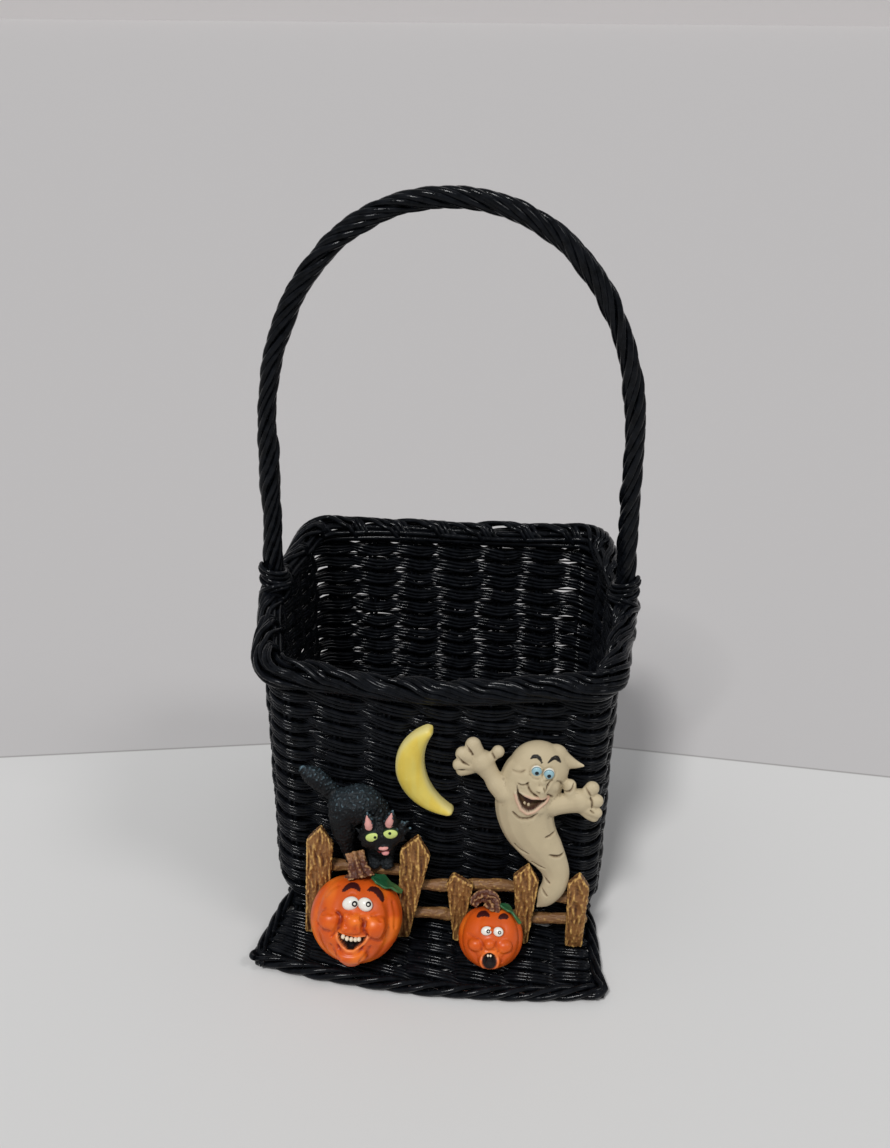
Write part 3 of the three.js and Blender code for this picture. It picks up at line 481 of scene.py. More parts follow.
def rim_fillers():
    """Canes inside the border, which the arches are laid over."""
    canes = []
    for angle, distance in ((30, 3), (120, 4.2), (-90, 4), (170, 5), (-140, 5)):
        points = []
        for step in range(stake_places * calm_steps):
            u = step / calm_steps
            swing = math.radians(angle + 14 * math.sin(u * 1.3))
            x, y, z = rim_place(u, swing, distance)
            points.append((x, y, z, 1))
        canes.append((points, rim_filler_radius, True))
    return canes


rim = cane_work("rolled_rim", rim_arches() + rim_fillers())
hand_in(rim, "black_cane", "rim_border")

# Floor and ledge. Seven sticks run from back to front, each a pair of rods. Row by row, three canes go
# across over and under them, turn round at the edge and come back the other way.

mat_thickness = 7.2
stick_radius, stick_count, stick_pitch = 1.5, 7, 29.5
row_radius, row_steps = 1.36, 90
row_rise, row_cane_pitch = 2.5, 2.45
floor_row_count, floor_front, row_pitch = 17, -82.5, 9.6
ledge_row_count, ledge_back = 5, -92
back_corner_start, back_corner_radius = 59, 26


def ledge_front(x):
    return -154.5 + 9.8 * ((x - 25) / 100) ** 2


def flat_row(course, left, right, seed):
    """Three canes of one row, across and back. course gives the row's y at each x."""
    chance = random.Random(seed)
    middle = mat_thickness / 2 + 0.4
    canes = []
    for cane in range(3):
        offset = (cane - 1) * row_cane_pitch
        points = []
        for way in (1, -1):
            for step in range(row_steps + 1):
                x = left + (right - left) * step / row_steps
                if way < 0:
                    x = left + right - x
                u = x / stick_pitch + 100
                turn = (u + (0 if way > 0 else 1) + 0.5) % 2
                share = turn % 1
                side = 1 if turn < 1 else -1
                fall = 1 - 2 * (1 - (1 - share) ** 1.8) if side > 0 else -1 + 2 * share**1.8
                edge = smooth(min(x - left, right - x) / 6)
                up = side * math.sin(math.pi * share) ** 0.6 * row_rise * edge
                lean = course(x) + fall * 2.2 * edge + offset * edge
                lean += 0.6 * noise.noise(Vector((x * 0.03, course(0) * 0.5, way + cane * 3)))
                points.append((x, lean, middle + up, 1))
            edge_x = right if way > 0 else left
            for step in range(1, 6):
                angle = math.pi * step / 6
                x = edge_x + way * (1.6 + 0.8 * cane) * math.sin(angle)
                z = middle + way * (row_rise + 0.2) * math.cos(angle) * 0.9
                points.append((x, course(edge_x) + offset * 0.6, z, 1))
        canes.append((points, row_radius * chance.uniform(0.95, 1.08), True))
    return canes


def ledge_rows():
    canes = []
    for row in range(ledge_row_count):
        share = (row + 0.45) / ledge_row_count

        def course(x, share=share):
            return ledge_back + share * (ledge_front(x) + 11 - ledge_back)

        canes += flat_row(course, -95.5 - 7 * share, 96 + 3 * share, seed=900 + row)
    return canes


def floor_rows():
    canes = []
    for row in range(floor_row_count):
        y = floor_front + row_pitch * row
        past_corner = max(0, y - back_corner_start)
        inset = back_corner_radius - math.sqrt(max(0, back_corner_radius**2 - past_corner**2))
        canes += flat_row(lambda x, y=y: y, -94 + inset, 94 - inset, seed=700 + row)
    return canes


def stick_rods():
    rods = []
    outermost = stick_count // 2
    for k in range(stick_count):
        x = (k - outermost) * stick_pitch
        reach = ledge_front(x) + 8
        back = 78 if abs(k - outermost) < outermost else 72
        for beside in (x - stick_radius, x + stick_radius):
            ends = [(beside, y, mat_thickness / 2, 1) for y in (reach, back)]
            rods.append((ends, stick_radius, False))
    return rods


woven_floor = cane_work("woven_floor", floor_rows())
hand_in(woven_floor, "black_cane", "base_mat")
woven_ledge = cane_work("woven_ledge", ledge_rows())
hand_in(woven_ledge, "black_cane", "ledge_mat")
sticks = cane_work("floor_sticks", stick_rods())
hand_in(sticks, "black_cane", *[f"base_stick_{k + 1}" for k in range(stick_count)])

# The ledge's border. Four canes are twisted loosely along the front edge, round its corners and back
# along the sides, over the ends of the rows. One end curls up at the left corner, and a thick one
# ends in a knob at the right corner.

border_radius, border_pitch, border_strands = 1.75, 66, 4
curl_radius, knob_radius = 1.7, 2.6


def border_path():
    """Places along the border, from the wall on the left to the wall on the right."""
    left = [(-90 - 1.6 * i, -64 - 5.2 * i) for i in range(5)]
    left += [(-98 - 7 * i / 12, -90 - 38 * i / 12) for i in range(12)]
    front = [(x, ledge_front(x) + 5) for x in range(-100, 99, 4)]
    right = [(99.5 - 2.5 * i / 12, -138 + 48 * i / 12) for i in range(1, 13)]
    right += [(96 - 1.4 * i, -85 + 5.2 * i) for i in range(5)]
    corners = [(-105, -130.5), (-103.8, -133.5)], [(100, -144), (101, -141)]
    return [*left, *corners[0], *front, *corners[1], *right]


def direction_at(path, i):
    """Which way a row of places runs at one of them."""
    return (path[min(i + 1, len(path) - 1)] - path[max(i - 1, 0)]).normalized()


def border_canes():
    path = [Vector((x, y, 5.3)) for x, y in border_path()]
    canes = []
    for strand in range(border_strands):
        points = []
        run = 0
        chance = random.Random(80 + strand)
        for i, spot in enumerate(path):
            along = direction_at(path, i)
            out = Vector((along[1], -along[0], 0))
            run += (spot - path[max(i - 1, 0)]).length
            at_front = smooth((-spot[1] - 126) / 12)
            angle = math.tau * (run / border_pitch + strand / border_strands)
            angle += 0.3 * noise.noise(Vector((run * 0.03, strand * 3, 0)))
            reach = 2 + 0.9 * at_front + 0.5 * noise.noise(Vector((run * 0.05, strand * 7, 1)))
            place = spot + out * (reach * math.cos(angle)) + Vector((0, 0, reach * math.sin(angle) - 0.4))
            points.append((*place, 1))
        canes.append((points, border_radius * chance.uniform(0.92, 1.1), False))
    curl = []
    for step in range(22):
        angle = math.radians(-70 + 15 * step)
        reach = 5.2 - 0.1 * step
        curl.append((-104.5 + reach * math.cos(angle), -134 + reach * math.sin(angle), 5.5 + 0.14 * step, 1))
    canes.append((curl, curl_radius, False))
    knob = [(97 + 0.9 * i, -147.5 + 0.5 * i * i / 4, 5.5 + 0.4 * math.sin(i), 1) for i in range(8)]
    canes.append((knob, knob_radius, False))
    return canes


border = cane_work("ledge_border_twist", border_canes(), corners=3)
hand_in(border, "black_cane", "ledge_border")

# The handle. Seven canes are wound in a slow twist round a thicker bow stick, whose ends stand in the
# side walls. Canes bind its feet to the rim.

handle_half, handle_spring, handle_top, handle_fullness = 109, 288, 429.5, 2.12
handle_foot = 110.5
rope_start, rope_strands, rope_pitch = 180, 7, 74
rope_reach, rope_radius, bow_radius = 4.05, 2.15, 3.4
level_turn_radius, slanting_turn_radius = 1.5, 1.55


def handle_line(steps):
    """Places along the handle from the left foot to the right one, each with its distance so far."""
    half = []
    for step in range(steps):
        z = rope_start + (handle_spring - rope_start) * step / steps
        x = handle_foot + (handle_half - handle_foot) * smooth((z - 184) / (handle_spring - 184))
        half.append((-x, z))
    for step in range(steps + 1):
        angle = math.pi / 2 * step / steps
        x = handle_half * math.cos(angle) ** (2 / handle_fullness)
        z = handle_spring + (handle_top - handle_spring) * math.sin(angle) ** (2 / handle_fullness)
        half.append((-x, z))
    line = half + [(-x, z) for x, z in reversed(half[:-1])]
    places = []
    run = 0
    for i, (x, z) in enumerate(line):
        if i:
            run += math.hypot(x - line[i - 1][0], z - line[i - 1][1])
        places.append((x, z, run))
    return places


def rope_canes():
    line = handle_line(60)
    canes = []
    for strand in range(rope_strands):
        points = []
        chance = random.Random(60 + strand)
        shift = chance.uniform(-0.12, 0.12)
        for i, (x, z, run) in enumerate(line):
            before, after = line[max(i - 1, 0)], line[min(i + 1, len(line) - 1)]
            along = Vector((after[0] - before[0], after[1] - before[1])).normalized()
            out = Vector((-along[1], along[0]))
            angle = math.tau * (run / rope_pitch + strand / rope_strands) + shift
            angle += 0.5 * noise.noise(Vector((run * 0.02, strand * 4.0, 0)))
            reach = rope_reach + 1.3 * noise.noise(Vector((run * 0.025, strand * 2.0, 5)))
            side = reach * math.cos(angle)
            thick = 1 + 0.4 * noise.noise(Vector((run * 0.02, strand * 5.0, 9)))
            points.append((x + out[0] * side, -reach * math.sin(angle), z + out[1] * side, thick))
        canes.append((points, rope_radius * chance.uniform(0.9, 1.12), False))
    bow = [(x, 0, z, 1) for x, z, _ in line]
    canes.append((bow, bow_radius, False))
    return canes


rope = cane_work("twisted_handle", rope_canes())
hand_in(rope, "black_cane", "handle_rope", "handle_core")


def binding(side):
    """The canes that bind one foot of the handle to the rim: level turns, and slanting ones below."""
    canes = []
    steps = 24
    for strand in range(2):
        points = []
        for step in range(3 * steps + 1):
            angle = math.tau * step / steps
            reach = 8 + 0.7 * math.sin(step * 0.37 + strand * 2)
            x = side * (handle_foot - 0.3 + reach * math.cos(angle))
            z = 191.5 + 3.3 * step / steps + strand * 2 + 2.2 * math.sin(angle + 1 + strand)
            points.append((x, reach * math.sin(angle), z, 1))
        canes.append((points, level_turn_radius, False))
    for strand, slant in enumerate((-1, 1, -0.5)):
        points = []
        for step in range(2 * steps + 1):
            angle = math.tau * step / steps
            reach = 8.8 + 0.6 * math.sin(step * 0.31 + strand * 1.7)
            x = side * (handle_foot - 0.8 + reach * math.cos(angle))
            y = 1.15 * reach * math.sin(angle) + slant * 1.5
            z = 184.5 + strand * 1.2 + 1.6 * step / steps
            z += slant * 7.5 * math.sin(angle) - 3 * math.cos(angle)
            points.append((x, y, z, 1))
        canes.append((points, slanting_turn_radius, False))
    return canes


for side, node in ((-1, "lashing_left"), (1, "lashing_right")):
    bound = cane_work(f"{node}_canes", binding(side))
    hand_in(bound, "black_cane", node)

# The fence. Five pointed pickets with deep grain stand on the ledge, and twig rails behind them carry
# the cat. Like the figures they are cast resin, modelled as lumps that melt together, then pressed and
# creased, and painted by hand: a plain coat, a dark wash in the hollows and a lighter dry brushing.


def points_of(piece):
    places = np.empty(len(piece.data.vertices) * 3)
    piece.data.vertices.foreach_get("co", places)
    return places.reshape(-1, 3) / mm


def move_points(piece, places):
    piece.data.vertices.foreach_set("co", (places * mm).ravel())
    piece.data.update()


def directions_of(piece):
    """The outward direction at each point."""
    outward = np.empty(len(piece.data.vertices) * 3)
    piece.data.vertex_normals.foreach_get("vector", outward)
    return outward.reshape(-1, 3)


def ball(place, radii, turn=(0, 0, 0), around=32, rings=20):
    bpy.ops.mesh.primitive_uv_sphere_add(segments=around, ring_count=rings, radius=1)
    lump = bpy.context.object
    lump.location = Vector(place) * mm
    lump.scale = Vector(radii) * mm
    lump.rotation_euler = [math.radians(angle) for angle in turn]
    return lump


def smooth_run(stations, steps):
    """Points on a smooth curve through the stations. Whatever values a station has run on smoothly."""
    stations = [np.array(station, float) for station in stations]
    line = [2 * stations[0] - stations[1], *stations, 2 * stations[-1] - stations[-2]]
    places = []
    for before, start, end, after in zip(line, line[1:], line[2:], line[3:]):
        for step in range(steps):
            t = step / steps
            bend = 2 * before - 5 * start + 4 * end - after
            twist = 3 * start - before - 3 * end + after
            places.append((2 * start + (end - before) * t + bend * t**2 + twist * t**3) / 2)
    return places + [stations[-1]]


least_limb_radius = 0.3


def limb(stations, steps=6):
    """A round limb through stations of x, y, z and radius, with round ends."""
    run = smooth_run(stations, steps)
    drawing = bpy.data.curves.new("limb", "CURVE")
    drawing.dimensions = "3D"
    drawing.bevel_depth = mm
    drawing.bevel_resolution = 5
    drawing.use_fill_caps = True
    line = drawing.splines.new("POLY")
    line.points.add(len(run) - 1)
    for point, (x, y, z, radius) in zip(line.points, run):
        point.co = (x * mm, y * mm, z * mm, 1)
        point.radius = max(radius, least_limb_radius)
    piece = bpy.data.objects.new("limb", drawing)
    scene.collection.objects.link(piece)
    select_only(piece)
    bpy.ops.object.convert(target="MESH")
    ends = [ball(run[end][:3], [max(run[end][3], least_limb_radius)] * 3) for end in (0, -1)]
    return joined("limb", [piece, *ends])


def joined(name, pieces):
    select_only(*pieces)
    bpy.ops.object.transform_apply(location=True, rotation=True, scale=True)
    if len(pieces) > 1:
        bpy.ops.object.join()
    piece = bpy.context.object
    piece.name = name
    piece.data.name = name
    return piece


def new_form(name, places, faces):
    """A mesh of places in millimetres."""
    mesh = bpy.data.meshes.new(name)
    mesh.from_pydata([Vector(place) * mm for place in places], [], faces)
    form = bpy.data.objects.new(name, mesh)
    scene.collection.objects.link(form)
    return form


def apply_modifier(piece, kind, **settings):
    modifier = piece.modifiers.new(kind.lower(), kind)
    for name, value in settings.items():
        setattr(modifier, name, value)
    select_only(piece)
    bpy.ops.object.modifier_apply(modifier=modifier.name)


def melted(name, pieces, grain, softening):
    """One casting from several lumps: merged into one skin of this grain and softened where they meet."""
    piece = joined(name, pieces)
    apply_modifier(piece, "REMESH", mode="VOXEL", voxel_size=grain * mm)
    apply_modifier(piece, "SMOOTH", factor=0.5, iterations=softening)
    bpy.ops.object.shade_smooth()
    return piece


def blend(colors, share, color):
    """Paint over the colours, as much of it at each point as its share says."""
    share = np.clip(share, 0, 1)[:, None]
    colors[:, :3] = colors[:, :3] * (1 - share) + np.array(color) * share


def plain_coat(piece, color, shine):
    colors = np.ones((len(piece.data.vertices), 4))
    colors[:, :3] = color
    colors[:, 3] = shine
    return colors


def paint_on(piece, colors):
    layer = piece.data.color_attributes.new("paint", "FLOAT_COLOR", "POINT")
    layer.data.foreach_set("color", colors.ravel())


def relief_of(piece):
    relief = np.empty(len(piece.data.vertices))
    piece.data.attributes["relief"].data.foreach_get("value", relief)
    return relief


def note_relief(piece, relief):
    piece.data.attributes["relief"].data.foreach_set("value", relief)


def measure_relief(piece, spread, strength):
    """Note at each point how far it stands out (above zero) or lies in a hollow (below zero)."""
    edges = np.empty(len(piece.data.edges) * 2, int)
    piece.data.edges.foreach_get("vertices", edges)
    first, second = edges.reshape(-1, 2).T
    places = points_of(piece)
    count = np.maximum(np.bincount(edges, minlength=len(places)), 1)

    def neighbours_mean(values):
        total = np.zeros_like(values)
        np.add.at(total, first, values[second])
        np.add.at(total, second, values[first])
        return total / (count[:, None] if values.ndim == 2 else count)

    softer = places
    for _ in range(spread):
        softer = neighbours_mean(softer)
    relief = ((places - softer) * directions_of(piece)).sum(axis=1)
    for _ in range(2):
        relief = neighbours_mean(relief)
    piece.data.attributes.new("relief", "FLOAT", "POINT")
    note_relief(piece, np.clip(relief * strength / spread, -1, 1))


def hand_brushed_group():
    """Hand painting: wash in the hollows, dry brushing on what stands out, and uneven coverage."""
    group = bpy.data.node_groups.new("hand_brushed", "ShaderNodeTree")
    for name, kind in (
        ("Wash", "NodeSocketColor"),
        ("Brush", "NodeSocketColor"),
        ("Wash Amount", "NodeSocketFloat"),
        ("Brush Amount", "NodeSocketFloat"),
        ("Speckle Scale", "NodeSocketFloat"),
    ):
        group.interface.new_socket(name, in_out="INPUT", socket_type=kind)
    group.interface.new_socket("Color", in_out="OUTPUT", socket_type="NodeSocketColor")
    group.interface.new_socket("Height", in_out="OUTPUT", socket_type="NodeSocketFloat")
    inputs = add_node(group, "NodeGroupInput").outputs
    painted = add_node(group, "ShaderNodeAttribute", attribute_name="paint")
    relief = add_node(group, "ShaderNodeAttribute", attribute_name="relief").outputs["Fac"]
    place = add_node(group, "ShaderNodeTexCoord").outputs["Object"]
    speckle = noise_value(group, {"Detail": 5}, {"Vector": place, "Scale": inputs["Speckle Scale"]})
    broad = noise_value(group, {"Scale": 90, "Detail": 2}, {"Vector": place})
    uneven = math_result(group, "MULTIPLY_ADD", speckle, 0.9, -0.45)
    height = math_result(group, "ADD", relief, uneven)
    wash = math_result(group, "MULTIPLY", in_range(group, height, -0.12, -0.7), inputs["Wash Amount"])
    brush = math_result(group, "MULTIPLY", in_range(group, height, 0.16, 0.6), inputs["Brush Amount"])
    coat = {0: painted.outputs["Color"], 1: in_range(group, broad, 0, 1, 0.86, 1.1)}
    shaded = add_node(group, "ShaderNodeVectorMath", links=coat, operation="MULTIPLY").outputs[0]
    washed = mixed_color(group, wash, shaded, inputs["Wash"])
    brushed = mixed_color(group, brush, washed, inputs["Brush"])
    outside = add_node(group, "NodeGroupOutput")
    group.links.new(brushed, outside.inputs["Color"])
    group.links.new(speckle, outside.inputs["Height"])
    return group


hand_brushed = hand_brushed_group()


def casting_paint(name, wash, brush, amounts, speckle=900, bumps=0.15, specular=0.4):
    """A hand-painted finish. The colours come from the piece's own paint; its alpha is the shine."""
    material, tree, shader = new_paint(name, specular)
    coat_values = {
        "Wash": (*wash, 1),
        "Brush": (*brush, 1),
        "Wash Amount": amounts[0],
        "Brush Amount": amounts[1],
        "Speckle Scale": speckle,
    }
    coat = add_node(tree, "ShaderNodeGroup", coat_values, node_tree=hand_brushed)
    tree.links.new(coat.outputs["Color"], shader.inputs["Base Color"])
    shine = add_node(tree, "ShaderNodeAttribute", attribute_name="paint").outputs["Alpha"]
    tree.links.new(in_range(tree, shine, 0, 1, 0.75, 0.12), shader.inputs["Roughness"])
    bump = add_node(tree, "ShaderNodeBump", {"Strength": bumps, "Distance": 0.0004})
    tree.links.new(coat.outputs["Height"], bump.inputs["Height"])
    tree.links.new(bump.outputs["Normal"], shader.inputs["Normal"])
    return material


def finish_casting(piece, material, slot, *nodes):
    piece.data.materials.clear()
    piece.data.materials.append(material)
    hand_in(piece, slot, *nodes)


fence_front, fence_back = -113.5, -108.5
fence_foot = 8.3
bare_wood, golden_wood, twig_wood = (0.25, 0.112, 0.032), (0.66, 0.4, 0.12), (0.2, 0.095, 0.035)
dull_wood, edge_wood, dark_wood = (0.2, 0.085, 0.025), (0.085, 0.03, 0.012), (0.055, 0.016, 0.007)
fence_paint = casting_paint("fence_brown_paint", dark_wood, golden_wood, (1.0, 0.9), speckle=700, bumps=0.3)

# Each picket: its tip and its left and right shoulder, as x and z, and the two ends of its foot in x
pickets = [
    ((-66.5, 89.5), (-75.3, 79.5), (-59.6, 77), (-79.3, -65.5)),
    ((-9, 86), (-19.6, 75.5), (-2, 71.8), (-22.2, -15)),
    ((11.9, 59), (8, 52), (24, 51.5), (12.3, 17.2)),
    ((56.6, 69), (47.6, 60), (62.8, 56.5), (51.5, 57.6)),
    ((86.8, 64), (79.8, 56), (92.7, 54.5), (80.6, 90.8)),
]


def picket(tip, left, right, foot, seed):
    outline = [(foot[0], fence_foot), (foot[1], fence_foot), right, tip, left]
    corners = [(x, y, z) for y in (fence_front, fence_back) for x, z in outline]
    sides = [(i, i + 5, (i + 1) % 5 + 5, (i + 1) % 5) for i in range(5)]
    board = new_form("picket", corners, [(0, 1, 2, 3, 4), (9, 8, 7, 6, 5), *sides])
    apply_modifier(board, "BEVEL", width=0.9 * mm, segments=2)
    board = melted(f"picket_{seed}_casting", [board], grain=0.5, softening=2)
    places = points_of(board)
    outward = directions_of(board)
    moved = places.copy()
    for i, (x, y, z) in enumerate(places):
        wavy = x * 0.62 + 0.15 * math.sin(z * 0.35 + seed)
        grain = noise.noise(Vector((wavy, y * 0.5, z * 0.07 + seed * 7)))
        ridge = 1 - 2 * abs(grain) ** 0.7
        knot = noise.noise(Vector((x * 0.25, seed * 3.1, z * 0.12)))
        rough = noise.noise(Vector((x * 0.9, y * 0.9, z * 0.5 + seed)))
        front = max(0, -outward[i][1])
        moved[i] += outward[i] * (front * (1.1 * ridge - 0.75 + 0.7 * knot) + 0.35 * rough)
    moved[:, 2] = np.maximum(moved[:, 2], fence_foot - 0.4)
    move_points(board, moved)
    measure_relief(board, spread=4, strength=12)
    outward = directions_of(board)
    colors = plain_coat(board, bare_wood, shine=0.35)
    edge = np.clip((0.75 + outward[:, 1]) * 2.2, 0, 1)
    blend(colors, edge * 0.85, edge_wood)
    broad = np.array([noise.noise(Vector((x * 0.12, seed, z * 0.05))) for x, _, z in places])
    blend(colors, np.clip(broad * 1.4, 0, 0.6) * (1 - edge), dull_wood)
    low = np.clip((20 - places[:, 2]) / 30, 0, 0.5)
    blend(colors, low, dark_wood)
    paint_on(board, colors)
    return board


for number, shape in enumerate(pickets, 1):
    board = picket(*shape, number)
    finish_casting(board, fence_paint, "fence_wood", f"picket_{number}")


rail_y, twig_radius = -105.2, 3.3


def twig(name, stations, seed):
    """A rail cast as a rough twig: bark ridges along it, and swellings."""
    run = [(*station, twig_radius) for station in stations]
    rail = melted(name, [limb(run, steps=10)], grain=0.5, softening=3)
    places = points_of(rail)
    outward = directions_of(rail)
    for i, (x, y, z) in enumerate(places):
        bark = noise.noise(Vector((x * 0.16, y * 0.9 + seed, z * 0.9)))
        swell = noise.noise(Vector((x * 0.09, seed * 5.0, 0)))
        places[i] += outward[i] * (0.9 * (0.4 - abs(bark)) + 0.9 * swell)
    move_points(rail, places)
    measure_relief(rail, spread=4, strength=8)
    colors = plain_coat(rail, twig_wood, shine=0.3)
    shadow = np.clip(-outward[:, 2] * 0.8, 0, 0.7)
    blend(colors, shadow, dark_wood)
    paint_on(rail, colors)
    return rail


rails = {
    "upper_rail": [(-18, 44), (5, 44.5), (27, 46.6), (46, 46.6), (66, 42), (90, 38.5)],
    "lower_rail": [(-22, 22), (4, 22.5), (10, 21.5), (34, 23), (62, 23), (90, 24)],
    "cat_rail": [(-72, 56.5), (-56, 56), (-40, 55), (-24, 55), (-10, 54)],
}
for seed, (node, stations) in enumerate(rails.items()):
    rail = twig(f"{node}_twig", [(x, rail_y, z) for x, z in stations], seed)
    finish_casting(rail, fence_paint, "fence_wood", node)

# The pumpkins. Each is a ribbed ball with a flat back, glued to the fence and tilted to look up. The
# face is modelled on: puffed cheeks and nose, a laughing mouth, and painted eyes and brows.

pumpkin_back, pumpkin_foot = fence_front - 0.3, fence_foot - 0.6
pumpkin_tilt = 0.62
pumpkin_orange = (0.62, 0.088, 0.006)
pumpkin_wash, pumpkin_light = (0.22, 0.015, 0.003), (0.82, 0.16, 0.01)
pumpkin_paint = casting_paint(
    "pumpkin_orange_paint", pumpkin_wash, pumpkin_light, (1.0, 0.5), speckle=500, bumps=0.12, specular=0.32
)
rib_depth, dent_depth = 0.085, 0.16
tilt_matrix = np.array(Matrix.Rotation(-pumpkin_tilt, 3, "X"))
lump_turn = (-round(math.degrees(pumpkin_tilt), 1), 0, 0)


def line_distance(places, line):
    """How far each place (two values each) is from a broken line, and how far along it that is."""
    line = [np.array(point, float) for point in line]
    spans = [np.linalg.norm(b - a) for a, b in zip(line, line[1:])]
    nearest = np.full(len(places), 1e6)
    along = np.zeros(len(places))
    run = 0
    for a, b, span in zip(line, line[1:], spans):
        t = np.clip((places - a) @ (b - a) / span**2, 0, 1)
        gap = np.linalg.norm(places - a - t[:, None] * (b - a), axis=1)
        closer = gap < nearest
        nearest[closer] = gap[closer]
        along[closer] = (run + t[closer] * span) / sum(spans)
        run += span
    return nearest, along


def stroke(places, line, width, taper=1.0):
    """How much of a soft stroke along a line covers each place. With taper its ends run out."""
    line = [point[:2] for point in smooth_run(line, 5)] if len(line) > 2 else line
    distance, along = line_distance(places, line)
    ends = np.sqrt(np.clip(4 * along * (1 - along), 0, 1))
    reach = width * (1 - taper + taper * ends) + 0.02
    return np.exp(-((distance / reach) ** 2))


def inside(places, outline):
    """Whether each place is inside a closed outline."""
    within = np.zeros(len(places), bool)
    x, y = places[:, 0], places[:, 1]
    for (x0, y0), (x1, y1) in zip(outline, [*outline[1:], outline[0]]):
        crosses = (y0 > y) != (y1 > y)
        rise = y1 - y0 if y1 != y0 else 1e-9
        within ^= crosses & (x < x0 + (y - y0) * (x1 - x0) / rise)
    return within


def depth_inside(places, outline):
    """How deep each place is inside a closed outline, and below zero outside it."""
    distance, _ = line_distance(places, [*outline, outline[0]])
    return np.where(inside(places, outline), distance, -distance)


def eyeball(place, radii, facing, rings_of_color):
    """An eye as a ball whose pole looks along facing. Each ring is (angle from the pole, colour)."""
    eye = joined("eye", [ball((0, 0, 0), (1, 1, 1), around=28, rings=56)])
    spots = points_of(eye)
    angles = np.degrees(np.arccos(np.clip(spots[:, 2], -1, 1)))
    colors = plain_coat(eye, rings_of_color[-1][1], shine=0.9)
    for limit, color in reversed(rings_of_color[:-1]):
        blend(colors, (angles < limit).astype(float), color)
    turn = Vector(facing).to_track_quat("Z", "Y").to_matrix()
    spots = spots @ np.array(turn).T * np.array(radii) + np.array(place)
    move_points(eye, spots)
    paint_on(eye, colors)
    bpy.ops.object.shade_smooth()
    return eye


class Pumpkin:
    """A pumpkin's place and size, and places on its face: to the right, up the face and out of it."""

    def __init__(self, middle, radius, ribs):
        self.middle, self.radius, self.ribs = np.array(middle, float), radius, ribs

    def on_face(self, right, up, out):
        return tilt_matrix @ np.array((right, -out, up)) * self.radius + self.middle

    def face_places(self, places):
        """The face coordinates of places in the model."""
        local = (places - self.middle) @ tilt_matrix / self.radius
        return local[:, [0, 2]], -local[:, 1]

    def lump(self, place, radii):
        return ball(self.on_face(*place), [radius * self.radius for radius in radii], lump_turn)

    def ribbed_ball(self):
        """A ball with ribs that fade out where the face is, and a dent round the stem."""
        piece = joined("pumpkin", [ball((0, 0, 0), (1, 1, 1), around=self.ribs * 12, rings=60)])
        places = points_of(piece)
        angle = np.arctan2(places[:, 0], -places[:, 1])
        flat = np.sqrt(np.clip(1 - places[:, 2] ** 2, 0, 1))
        rib = 1 - rib_depth * flat * (1 - np.abs(np.cos(self.ribs * angle / 2))) ** 1.5
        face = np.clip(np.cos(angle) * 1.6 - 0.6, 0, 1) * np.clip(1 - np.abs(places[:, 2]), 0, 1)
        rib = rib * (1 - face) + 0.985 * face
        dent = np.where(places[:, 2] > 0, 1 - dent_depth * (1 - flat) ** 2, 1)
        places *= np.stack([rib, rib * 0.94, dent * 0.97], axis=1)
        move_points(piece, places @ tilt_matrix.T * self.radius + self.middle)
        return piece


def cut_flat(piece):
    """Press a pumpkin flat against the fence at its back and against the ledge below."""
    places = points_of(piece)
    places[:, 1] = np.minimum(places[:, 1], pumpkin_back)
    places[:, 2] = np.maximum(places[:, 2], pumpkin_foot)
    move_points(piece, places)


def press_on_face(piece, pumpkin, amount):
    """Move the face's points along their outward directions, by amount in shares of the radius."""
    places = points_of(piece)
    _, out = pumpkin.face_places(places)
    front = np.clip(out * 3, 0, 1)
    move_points(piece, places + directions_of(piece) * (amount * front * pumpkin.radius)[:, None])


big = Pumpkin((-44.5, -126.8, 36.2), radius=27.6, ribs=10)
small = Pumpkin((35.4, -127.2, 27.2), radius=19.2, ribs=8)

